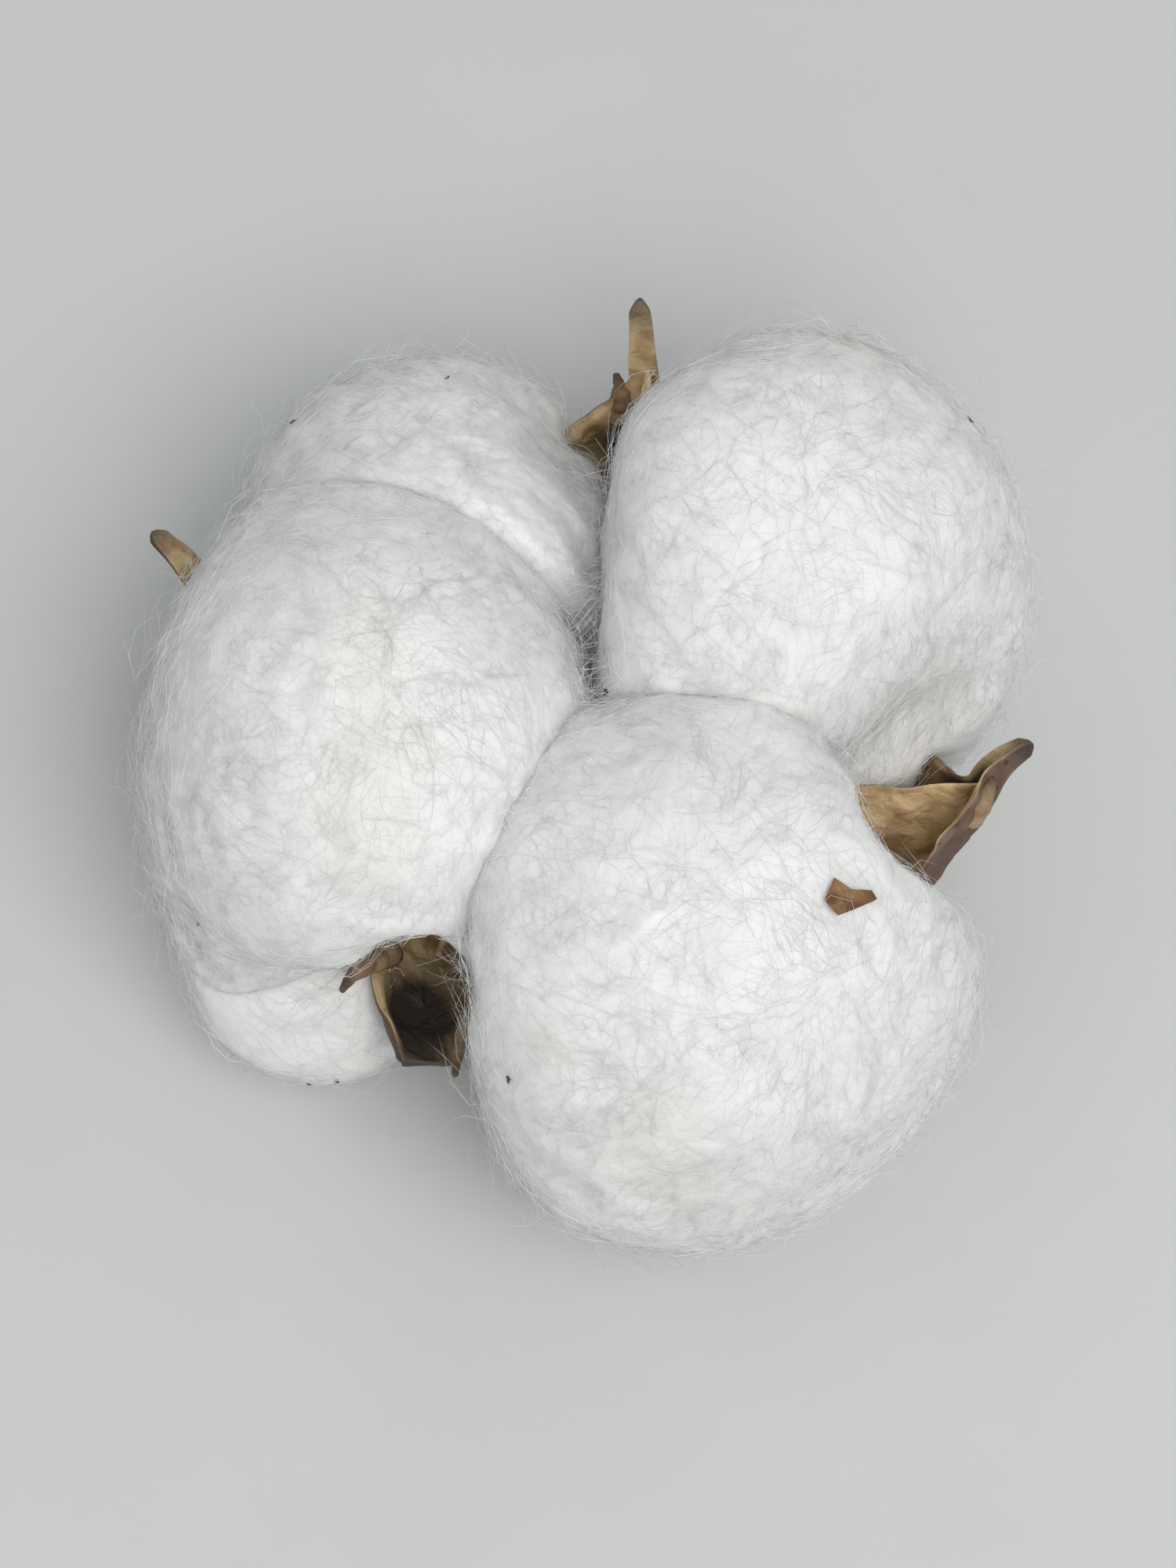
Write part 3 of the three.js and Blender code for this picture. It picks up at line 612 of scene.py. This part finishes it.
def fibre_paths(name, count, steps, length, bend, lift, chance):
    """Walks over the lock: each starts at a bare place, goes along the grain with a bend, and is carried out to
    the lint plus a lift. The grain is a slow noise field, so fibres lie in swirls."""
    start = open_ways(name, count, chance)
    count = len(start)
    grain = np.stack([waves(start * 20.0, GRAIN_SIZE, 300 + axis) for axis in range(3)], -1)
    ahead = unit(np.cross(start, grain + chance.normal(0.0, GRAIN_STRAY, (count, 3))))
    aside = np.cross(start, ahead)
    share = np.linspace(-0.5, 0.5, steps)
    reach = chance.uniform(*length, count)[:, None] / lock_radius(name, start)[:, None] * share
    curve = chance.normal(0.0, bend, count)[:, None] * (share ** 2 - 0.08)
    wiggle = chance.normal(0.0, FIBRE_WIGGLE, (count, steps))
    sway = (curve + wiggle)[..., None] * aside[:, None]
    ways = unit(start[:, None] + reach[..., None] * ahead[:, None] + sway)
    return lint_points(name, ways, lift(count, steps, chance))


# %% Three kinds of fibre on each lock
def lying(count, steps, chance):
    """Fibres that lie on the lint: sunk at their ends, a hair's breadth proud between."""
    rise = np.sin(np.pi * np.linspace(0.0, 1.0, steps))
    return chance.uniform(0.0, 0.3, (count, 1)) * rise - 0.06


def looping(count, steps, chance):
    """Fibres that leave the lint in a low loop and go back into it."""
    rise = np.sin(np.pi * np.linspace(0.0, 1.0, steps))
    return chance.gamma(2.0, 0.28, (count, 1)) * rise - 0.15


def straying(count, steps, chance):
    """Fibres with one end free, which stand off the lint more and more."""
    return chance.gamma(2.2, 0.55, (count, 1)) * np.linspace(0.0, 1.0, steps) ** 1.6 - 0.2


FIBRE_AREA = 330.0  # the product of a lock's two level half sizes that the numbers of fibres are for
FIBRES = [  # the kind, how many on a lock, points along, length, bend and thickness, all in millimetres
    (lying, 4300, 6, (4.0, 10.0), 0.5, 0.018),
    (looping, 1500, 6, (3.0, 8.0), 0.8, 0.016),
    (straying, 1100, 6, (3.0, 8.0), 0.7, 0.014),
]


def lint_fuzz(name, chance):
    """All the fibres of one lock as one mesh, as many to each square millimetre as on the others."""
    shells = []
    crowd = LOCKS[name]["along"] * LOCKS[name]["across"] / FIBRE_AREA
    for kind, count, steps, length, bend, thick in FIBRES:
        paths = fibre_paths(name, round(count * crowd), steps, length, bend, kind, chance)
        shells.append(threads(paths, thick * chance.uniform(0.7, 1.4, len(paths))))
    return joined(shells)


for lock_name in LOCKS:
    fuzz = lint_fuzz(lock_name, np.random.default_rng(500 + LOCKS[lock_name]["seed"]))
    make_piece(f"fibres_{lock_name}", *fuzz, FIBRE_FINISH, "lint", None)

# %% [markdown]
# ## Strands between the locks
# Where two locks part, fibres still cling from one to the other and veil the groove. Each strand here runs
# from a point on one lock to the point of its neighbour that lies that way, with a little slack.

# %% Strands across the grooves
STRANDS_PER_WALL = 420
STRAND_REACH = 5.0  # the widest gap that a strand spans
STRAND_LOWEST, STRAND_OUT = 18.0, 18.0  # strands stay above this height and within this distance of the axis
STRAND_SLANT, STRAND_BOW, STRAND_SUNK = 1.6, 0.25, 0.5


def strand_paths(first, second, chance):
    """Curves between two locks: straight from one to the other, bowed by a share of their length, ends sunk."""
    ways = unit(chance.normal(size=(STRANDS_PER_WALL * 30, 3)))
    here = lint_points(first, ways)
    towards = unit(here - lock_centre(second))
    there = lint_points(second, towards)
    gap = np.linalg.norm(there - here, axis=-1)
    outside = np.linalg.norm(here - lock_centre(second), axis=-1) > lock_radius(second, towards) - 0.2
    inner = np.hypot(here[:, 0], here[:, 1]) < STRAND_OUT
    near = outside & (gap < STRAND_REACH) & (here[:, 2] > STRAND_LOWEST) & inner
    here, there = here[near][:STRANDS_PER_WALL], there[near][:STRANDS_PER_WALL]
    sideways = chance.normal(0.0, STRAND_SLANT, (len(here), 3))
    there = there + sideways
    span = there - here
    share = np.linspace(-0.25, 1.25, 6)[None, :, None]
    bow = chance.normal(0.0, STRAND_BOW, (len(here), 1, 3)) * (share - share ** 2) * 4.0
    sunk = -STRAND_SUNK * (share * (share - 1.0) > 0.0)
    return here[:, None] + span[:, None] * np.clip(share, 0.0, 1.0) + bow + sunk * UP


strand_chance = np.random.default_rng(77)
strand_shells = []
for wall in WALLS:
    paths = strand_paths(*wall["between"], strand_chance)
    strand_shells.append(threads(paths, strand_chance.uniform(0.01, 0.02, len(paths))))
make_piece("strands", *joined(strand_shells), FIBRE_FINISH, "lint", None)

# %% [markdown]
# ## The bur's finish
# The bur is the dried wall of the capsule. Inside, where it held the lint, it is smooth and tan; outside it
# is dark reddish brown with tiny black gland dots; and the spiked tips have weathered almost black. The
# mesh keeps three marks on its points for this: inside, 1 on the inner face and 0 on the outer; hollow, 1
# in a near-black patch in a valve, partly a real stain and partly painted shade of the deep hollow between
# the locks; and along, the place from root to tip.

# %% Bur
HUSK_TAN = (0.76, 0.56, 0.31)
HUSK_STREAK = (0.40, 0.25, 0.12)
HUSK_BROWN = (0.125, 0.062, 0.034)
HUSK_GREY = (0.23, 0.165, 0.12)
HUSK_TIP = (0.045, 0.03, 0.022)
# near black: partly a real stain, partly painted shade deep in a valve's hollow
HUSK_STAIN_AND_SHADE = (0.028, 0.019, 0.012)


def husk_finish():
    """Tan inside with darker streaks, brown outside with grey weathering and gland dots, dark at the tips."""
    material, tree, shader = new_finish("husk", Roughness=0.62)
    streaks = between(tree, noise(tree, 420.0, detail=5.0, distortion=0.6), 0.35, 0.7, 0.0, 1.0)
    inner = blend_colours(tree, streaks, HUSK_TAN, HUSK_STREAK)
    weather = between(tree, noise(tree, 260.0, detail=6.0), 0.42, 0.66, 0.0, 0.85)
    outer = blend_colours(tree, weather, HUSK_BROWN, HUSK_GREY)
    dots = tree.nodes.new("ShaderNodeTexVoronoi")
    dots.inputs["Scale"].default_value = 900.0
    place = tree.nodes.new("ShaderNodeTexCoord")
    tree.links.new(place.outputs["Object"], dots.inputs["Vector"])
    gland = between(tree, dots.outputs["Distance"], 0.12, 0.26, 0.8, 0.0)
    outer = blend_colours(tree, gland, outer, (0.03, 0.02, 0.015))
    # painted shade: the hollow mark darkens the inner face nearly to black where a valve lies deep between
    # locks, partly a real stain too
    inner = blend_colours(tree, mark(tree, "hollow"), inner, HUSK_STAIN_AND_SHADE)
    wall = blend_colours(tree, mark(tree, "inside"), outer, inner)
    tip = between(tree, mark(tree, "along"), 0.86, 1.0, 0.0, 0.85)
    tree.links.new(blend_colours(tree, tip, wall, HUSK_TIP), shader.inputs["Base Color"])
    relief = work_out(tree, "ADD", streaks, noise(tree, 1500.0, detail=4.0))
    bump(tree, shader, relief, 0.00018)
    return material


HUSK_FINISH = husk_finish()

# %% [markdown]
# ## The bur
# The bur opens into four valves round a shallow bowl. Each valve is a thin blade with a spike at its tip
# and a thin wall, the septum, standing on its middle. A valve is drawn as a flat ring carried along its
# centre line: the ring's width follows the outline, its bend makes the cup, and waves in both make it look
# dried and not cut from card.

# %% Blades, septa, teeth and bowl
VALVE_ROWS, VALVE_COLUMNS = 150, 44
STAINS_AND_SHADE = dict(  # the near-black patch in each valve, partly real stain and partly painted shade: its place along and half length, its share across and half width
    back=(0.58, 0.1, 0.0, 0.5), left=(0.5, 0.1, 0.0, 0.5),
    front=(0.84, 0.26, -0.1, 0.75), right=(0.75, 0.11, -0.3, 0.5))
STAIN_AND_SHADE_STRENGTH = 1.8
SEPTUM_HEIGHT = 14.0
SEPTUM_ENDS = dict(back=0.82, left=0.82, front=0.5, right=0.82)  # the place along a valve where its septum ends
SPIKE_GROWS = (0.74, 0.9)  # the places between which the flat blade becomes a round spike
MARGIN_CURL, MARGIN_STARTS = 0.9, 0.72  # how far a blade's margin curls out, and where across it starts
BLADE_WAVE, CRUMPLES = 0.06, ((7.0, 0.28), (2.2, 0.1))  # ragged edges; wavelengths and depths of crumpling


def blade(name, seed):
    """A flat ring carried from root to tip: its edges wave, curl out at the margin and cup the lint."""
    turns = 2.0 * np.pi * np.arange(VALVE_COLUMNS) / VALVE_COLUMNS
    place, turn = np.meshgrid(np.linspace(0.0, 0.995, VALVE_ROWS), turns, indexing="ij")
    share = np.cos(turn)
    at, along, inward, across = valve_frame(name, place)
    sides = np.where(share < 0, -1.0, 1.0)
    ragged = 1.0 + BLADE_WAVE * waves(np.stack([place * 30.0, sides * 9.0, 0.0 * place], -1), 4.0, seed)
    half = half_width(name, place, share) * ragged * np.sqrt(1.0 - 0.9 * ramp(place, 0.965, 1.0))
    spike = ramp(place, *SPIKE_GROWS)
    thick = mix(mix(0.55, 0.28, np.abs(share)), 0.8 * np.minimum(half, 0.7), spike)
    flat = np.abs(np.sin(turn)) ** mix(0.35, 1.0, spike) * np.sign(np.sin(turn))
    margin = MARGIN_CURL * ramp(np.abs(share), MARGIN_STARTS, 1.0) * ramp(half, 1.5, 4.0)
    depth = valve_cup(name, place) * half * share ** 2 - margin - thick * flat
    points = at + across * (share * half)[..., None] + inward * depth[..., None]
    (broad, broad_depth), (fine, fine_depth) = CRUMPLES
    crumple = broad_depth * waves(points, broad, seed + 1)
    crumple = crumple + fine_depth * waves(points, fine, seed + 2) * (1 - 0.6 * spike)
    points = points + inward * crumple[..., None]
    start, _, _, _ = valve_frame(name, 0.0)
    end = valve_frame(name, 1.0)[0] + inward[-1, 0] * crumple[-1].mean()
    shape, triangles = tube(points, start, end)
    inside = np.append(ramp(-np.sin(turn), -0.12, 0.12).ravel(), [1.0, 0.0])
    # the hollow mark: a near-black patch on the inner face, partly real stain and partly painted shade of the
    # deep hollow
    stain_place, long, stain_share, wide = STAINS_AND_SHADE[name]
    stain_and_shade = STAIN_AND_SHADE_STRENGTH * np.exp(-((place - stain_place) / long) ** 2 - ((share - stain_share) / wide) ** 2)
    hollow = np.append(np.minimum(stain_and_shade, 1.0).ravel(), [0.0, 0.0]) * inside
    return shape, triangles, dict(inside=inside, hollow=hollow, along=np.append(place.ravel(), [0.0, 1.0]))


def septum(name, seed):
    """A thin flat ring on the middle of a valve: as tall as a low arch with a torn edge."""
    share, turn = np.meshgrid(np.linspace(0.0, 1.0, 60), 2.0 * np.pi * np.arange(16) / 16, indexing="ij")
    place = mix(0.08, SEPTUM_ENDS[name], share)
    at, along, inward, across = valve_frame(name, place)
    torn = 1.0 + 0.12 * waves(np.stack([share * 26.0, 0.0 * share, 0.0 * share], -1), 3.0, seed)
    tall = SEPTUM_HEIGHT * np.sin(np.pi * np.maximum(share, 1e-6) ** 0.85) * torn + 0.6
    thick = mix(0.4, 0.16, 0.5 - 0.5 * np.sin(turn))
    lean = 0.5 * waves(at + inward * tall[..., None], 9.0, seed + 1) * (0.5 - 0.5 * np.sin(turn))
    points = at + across * (np.cos(turn) * thick + lean)[..., None] + inward * (
        tall * (0.5 - 0.5 * np.sin(turn)) - 0.2)[..., None]
    shape, triangles = tube(points, at[0, 0], at[-1, 0])
    count = len(shape)
    return shape, triangles, dict(inside=np.ones(count), hollow=np.zeros(count), along=np.zeros(count))


def thorn(root, tip, radius, seed, along_from, along_to):
    """A thin cone from root to tip that bends a little: rings that shrink to a point."""
    share, turn = np.meshgrid(np.linspace(0.0, 0.97, 24), 2.0 * np.pi * np.arange(10) / 10, indexing="ij")
    way = unit(tip - root)
    side = unit(np.cross(way, UP))
    over = np.cross(way, side)
    bend = side * (0.06 * np.linalg.norm(tip - root) * np.sin(np.pi * share))[..., None]
    knots = waves(np.stack([share * 9, turn * 0, turn * 0], -1), 2.0, seed)
    wide = radius * (1.0 - 0.8 * share) * (1.0 + 0.12 * knots)
    points = mix(root, tip, share[..., None]) + bend + wide[..., None] * (
        np.cos(turn)[..., None] * side + np.sin(turn)[..., None] * over)
    shape, triangles = tube(points, root, tip)
    along = np.append(mix(along_from, along_to, share).ravel(), [along_from, along_to])
    return shape, triangles, dict(inside=np.full(len(shape), 0.35), hollow=np.zeros(len(shape)), along=along)


BOWL_PROFILE = np.array([  # distance out and height, out along the underside and back along the inside
    [0.8, 7.0], [2.5, 7.05], [4.0, 7.2], [5.8, 7.7], [7.4, 8.4], [8.8, 9.0], [10.0, 9.6], [10.3, 10.1],
    [9.8, 10.6], [8.4, 10.2], [6.8, 9.6], [5.2, 9.1], [3.6, 8.6], [0.8, 8.4]])
BOWL_SIDES, BOWL_RIM = 96, 7  # columns round the axis, and the profile's point at the rim


def bowl():
    """The bur's bottom: a profile turned round the axis, a little wavy away from the middle."""
    profile = BOWL_PROFILE
    turn = 2.0 * np.pi * np.arange(BOWL_SIDES) / BOWL_SIDES
    points = polar(np.degrees(turn)[None, :], profile[:, :1], profile[:, 1:] + 0.0 * turn)
    points[..., 2] += 0.25 * waves(points, 6.0, 91) * ramp(profile[:, :1], 2.0, 8.0)
    shape, triangles = tube(points, (0.0, 0.0, 7.0), (0.0, 0.0, 8.4))
    inside = np.repeat((np.arange(len(profile)) > BOWL_RIM).astype(float), BOWL_SIDES)
    none = np.zeros(len(shape))
    return shape, triangles, dict(inside=np.append(inside, [0.0, 1.0]), hollow=none, along=none)


bur_shells = [bowl()]
for number, valve_name in enumerate(VALVES):
    bur_shells += [blade(valve_name, 11 + 5 * number), septum(valve_name, 13 + 5 * number)]
    for tooth in VALVES[valve_name]["teeth"]:
        bur_shells.append(thorn(*tooth_line(valve_name, *tooth), TOOTH_RADIUS, 15 + 5 * number, 0.7, 0.98))
make_piece("husk", *joined(bur_shells), HUSK_FINISH, "bur", "bur")

# %% [markdown]
# ## Calyx and stalk
# Under the bur sit the withered calyx, a dark papery cup with five low lobes, and the stub of the flower
# stalk. Both are rings again: the calyx is a profile turned round the axis whose rim waves, and the stalk
# is a tube with low ribs and a pale cut end.

# %% Finishes for calyx and stalk
def dry_finish(name, dark, pale, scale, depth):
    """Dry brown bark or papery leaf: two browns in fine uneven streaks, with the same streaks as relief."""
    material, tree, shader = new_finish(name, Roughness=0.85)
    streaks = noise(tree, scale, detail=6.0, stretch=(1.0, 1.0, 0.35), distortion=0.4)
    grain = between(tree, streaks, 0.34, 0.68, 0.0, 1.0)
    shade = between(tree, noise(tree, scale * 0.2, detail=3.0), 0.35, 0.65, 0.0, 0.6)
    colour = blend_colours(tree, shade, blend_colours(tree, grain, dark, pale), dark)
    cut = blend_colours(tree, mark(tree, "cut"), colour, (0.42, 0.31, 0.19))
    tree.links.new(cut, shader.inputs["Base Color"])
    bump(tree, shader, grain, depth)
    return material


CALYX_FINISH = dry_finish("calyx_dry", (0.045, 0.028, 0.017), (0.13, 0.085, 0.05), 500.0, 0.0003)
STALK_FINISH = dry_finish("stalk_bark", (0.07, 0.043, 0.025), (0.19, 0.125, 0.075), 600.0, 0.0003)
LEAF_FINISH = dry_finish("leaf_dry", (0.13, 0.06, 0.025), (0.33, 0.19, 0.085), 700.0, 0.0002)

# %% The calyx with its bract spikes
BRACTS = [(20, 6.0, 12), (36, 4.2, 30), (137, 5.2, 20), (262, 5.6, 16)]  # bearing, length, droop
BRACT_ROOT, BRACT_RADIUS = (5.6, 5.6), 0.75  # distance out and height, and how thick a bract's spike is there
CALYX_PROFILE = np.array([  # distance out and height, out along the underside and back along the inside
    [0.8, 4.4], [2.6, 4.35], [4.6, 4.3], [5.9, 4.7], [7.0, 5.2], [8.2, 6.1], [9.4, 7.0], [9.6, 7.4],
    [9.0, 7.5], [7.9, 7.1], [6.8, 6.8], [4.0, 6.5], [0.8, 6.4]])
CALYX_SIDES, LOBE_START, LOBE_RISE = 120, 6.7, 2.4  # columns, where the rim's lobes start, and how high they go


def calyx_cup():
    """A profile turned round the axis: beyond the middle it rises and falls in five lobes, and it crumples."""
    profile = CALYX_PROFILE
    turn = 2.0 * np.pi * np.arange(CALYX_SIDES) / CALYX_SIDES
    points = polar(np.degrees(turn)[None, :], profile[:, :1], profile[:, 1:] + 0.0 * turn)
    share = np.maximum(profile[:, :1] / LOBE_START - 1.0, 0.0)
    crumple = 0.3 * waves(points, 3.0, 61) * ramp(profile[:, :1], 4.0, 8.0)
    points[..., 2] += LOBE_RISE * np.cos(5.0 * turn) * share + crumple
    shape, triangles = tube(points, (0.0, 0.0, 4.4), (0.0, 0.0, 6.4))
    return shape, triangles, dict(cut=np.zeros(len(shape)))


calyx_shells = [calyx_cup()]
for number, (bearing, length, droop) in enumerate(BRACTS):
    fall = math.radians(droop)
    bract_root = polar(bearing, *BRACT_ROOT)
    bract_tip = bract_root + polar(bearing, length * math.cos(fall), -length * math.sin(fall))
    spike_points, spike_triangles, _ = thorn(bract_root, bract_tip, BRACT_RADIUS, 70 + number, 0.0, 0.0)
    calyx_shells.append((spike_points, spike_triangles, dict(cut=np.zeros(len(spike_points)))))
make_piece("calyx_cup", *joined(calyx_shells), CALYX_FINISH, "calyx", "calyx")


# %% The stalk
def stalk_stub():
    """Rings up the stalk, wider near the cut, with five low ribs; the lowest ring and its middle are cut."""
    height, turn = np.meshgrid(np.linspace(0.8, 5.2, 26), 2.0 * np.pi * np.arange(60) / 60, indexing="ij")
    wide = np.interp(height, [0.8, 1.2, 3.0, 5.2], [0.94, 1.06, 0.98, 1.04]) * (1.0 + 0.06 * np.cos(5.0 * turn))
    points = polar(np.degrees(turn), 2.1 * wide, height)
    points = points * (1.0 + 0.02 * waves(points, 1.2, 81)[..., None] * np.array([1.0, 1.0, 0.0]))
    shape, triangles = tube(points, (0.0, 0.0, 0.85), (0.0, 0.0, 5.2))
    cut = np.append((height < 0.81).astype(float).ravel(), [1.0, 0.0])
    return shape, triangles, dict(cut=cut)


make_piece("stalk_stub", *stalk_stub(), STALK_FINISH, "stalk", "stalk")

# %% [markdown]
# ## Scraps of leaf
# Picked cotton always carries a little trash. One brown chip of leaf is caught in the front lock, and a few
# specks sit in the lint. A chip is a thin lens: its outline is a radius for each bearing, and it curls like
# a dry leaf.

# %% One chip and a few specks
SCRAP_OUTLINE = np.array([
    [-1.9, -0.5], [-0.9, -1.3], [0.2, -0.7], [1.9, 0.3], [1.5, 0.9], [0.1, 0.7], [-1.2, 1.2]])
SCRAP_WAY = unit(np.array([0.44, -0.07, 0.89]))


def leaf_chip(at, way, size, spin, seed):
    """Rings from the chip's underside out to its edge and back over its top, bent along one way."""
    turns = np.arctan2(SCRAP_OUTLINE[:, 1], SCRAP_OUTLINE[:, 0])
    first = SCRAP_OUTLINE[np.argsort(turns)]
    second = np.roll(first, -1, axis=0)
    turn = 2.0 * np.pi * np.arange(72) / 72 - np.pi
    side_of = (np.searchsorted(np.sort(turns), turn, side="right") - 1) % len(first)
    a, b = first[side_of], second[side_of]
    edge = (a[:, 0] * b[:, 1] - a[:, 1] * b[:, 0]) / (
        np.cos(turn) * (b[:, 1] - a[:, 1]) - np.sin(turn) * (b[:, 0] - a[:, 0]))
    share = np.array([0.4, 0.8, 0.97, 1.0, 0.97, 0.8, 0.4])[:, None]
    level = np.array([-0.1, -0.1, -0.08, 0.0, 0.08, 0.1, 0.1])[:, None]
    flat_x, flat_y = share * edge * np.cos(turn), share * edge * np.sin(turn)
    raised = level + 0.06 * flat_x ** 2 - 0.1 * flat_y + 0.05 * np.sin(2.3 * flat_x + seed)
    side = unit(np.cross(way, [math.cos(spin), math.sin(spin), 0.1]))
    over = np.cross(way, side)
    points = at + size * (flat_x[..., None] * side + flat_y[..., None] * over + raised[..., None] * way)
    middle = at + size * 0.05 * math.sin(seed) * way
    shape, triangles = tube(points, middle - 0.1 * size * way, middle + 0.1 * size * way)
    return shape, triangles, dict(cut=np.zeros(len(shape)))


scrap_at = lint_points("front", SCRAP_WAY[None])[0] + 0.35 * SCRAP_WAY
scrap = leaf_chip(scrap_at, SCRAP_WAY, 1.0, -np.pi / 2.0, 3)
make_piece("leaf_chip", *scrap, LEAF_FINISH, "leaf", "leaf_scrap")

speck_chance = np.random.default_rng(21)
speck_shells = []
for lock_name in LOCKS:
    for way in open_ways(lock_name, 4, speck_chance):
        speck_at = lint_points(lock_name, way[None])[0] + 0.12 * way
        speck_size = speck_chance.uniform(0.1, 0.22)
        speck_shells.append(leaf_chip(speck_at, way, speck_size, speck_chance.uniform(0.0, 6.0), 5))
make_piece("leaf_specks", *joined(speck_shells), CALYX_FINISH, "leaf", None)

# %% [markdown]
# ## Floor, light and camera
# A pale floor, a bright even sky and one large soft lamp give the flat daylight of a picture taken near a
# window. The camera looks down on the boll's open face from a little in front, far enough off that it is
# hardly foreshortened.

# %% The stage
SWEEP_FLAT, SWEEP_WALL, SWEEP_HIGH, SWEEP_SIDES = 1.2, 2.0, 1.6, 96
FLOOR_PALE, FLOOR_PALER = (0.60, 0.615, 0.61), (0.62, 0.635, 0.63)


def floor():
    """A level round floor whose edge curves up into a wall: a quarter ellipse turned round the upright axis."""
    bend = np.linspace(0.0, np.pi / 2.0, 24)
    out = np.concatenate([[0.3, 0.8], SWEEP_FLAT + (SWEEP_WALL - SWEEP_FLAT) * np.sin(bend)])
    height = np.concatenate([[0.0, 0.0], SWEEP_HIGH * (1.0 - np.cos(bend))])
    turn = 2.0 * np.pi * np.arange(SWEEP_SIDES) / SWEEP_SIDES
    points = polar(np.degrees(turn)[None, :], out[:, None], height[:, None] + 0.0 * turn)
    mesh = bpy.data.meshes.new("floor")
    corners = np.concatenate([points.reshape(-1, 3), [[0.0, 0.0, 0.0]]])
    here = np.arange(SWEEP_SIDES)
    beside = (here + 1) % SWEEP_SIDES
    ring = np.arange(len(out) - 1)[:, None] * SWEEP_SIDES
    further = ring + SWEEP_SIDES
    walls = np.stack([ring + here, further + here, further + beside, ring + beside], -1).reshape(-1, 4)
    middle = np.stack([np.full(SWEEP_SIDES, len(corners) - 1), here, beside], -1)
    mesh.from_pydata(corners, [], walls.tolist() + middle.tolist())
    mesh.polygons.foreach_set("use_smooth", np.ones(len(mesh.polygons), dtype=bool))
    material, tree, shader = new_finish("floor_paint", Roughness=0.8)
    mottle = between(tree, noise(tree, 30.0), 0.3, 0.7, 0.0, 1.0)
    tree.links.new(blend_colours(tree, mottle, FLOOR_PALE, FLOOR_PALER), shader.inputs["Base Color"])
    mesh.materials.append(material)
    sheet = bpy.data.objects.new("floor", mesh)
    bpy.context.scene.collection.objects.link(sheet)


floor()

sky = bpy.data.worlds.new("sky")
bpy.context.scene.world = sky
sky.use_nodes = True
sky.node_tree.nodes["Background"].inputs["Color"].default_value = (0.97, 0.985, 1.0, 1.0)
sky.node_tree.nodes["Background"].inputs["Strength"].default_value = 0.62


def lamp(name, place, target, size, power, colour):
    """A square soft lamp that faces its target."""
    data = bpy.data.lights.new(name, "AREA")
    data.size, data.energy, data.color = size, power, colour
    light = bpy.data.objects.new(name, data)
    bpy.context.scene.collection.objects.link(light)
    light.location = place
    back = np.array(place) - np.array(target)
    light.rotation_euler = (math.acos(back[2] / np.linalg.norm(back)), 0.0, math.atan2(back[0], -back[1]))


lamp("window", (0.2, -0.36, 0.75), (0.0, 0.0, 0.02), 0.5, 4.2, (1.0, 0.985, 0.96))

# %% The camera
LOOK_AT = np.array([0.0, -0.0012, 0.0205])
LOOK_DOWN = math.radians(70.0)
LENS, STAND_OFF = 100.0, 0.30

camera_data = bpy.data.cameras.new("camera")
camera_data.lens = LENS
camera_data.clip_start, camera_data.clip_end = 0.01, 20.0
camera = bpy.data.objects.new("camera", camera_data)
bpy.context.scene.collection.objects.link(camera)
camera.location = LOOK_AT + STAND_OFF * np.array([0.0, -math.cos(LOOK_DOWN), math.sin(LOOK_DOWN)])
camera.rotation_euler = (math.radians(90.0) - LOOK_DOWN, 0.0, 0.0)
bpy.context.scene.camera = camera
bpy.context.scene.view_settings.view_transform = "Standard"
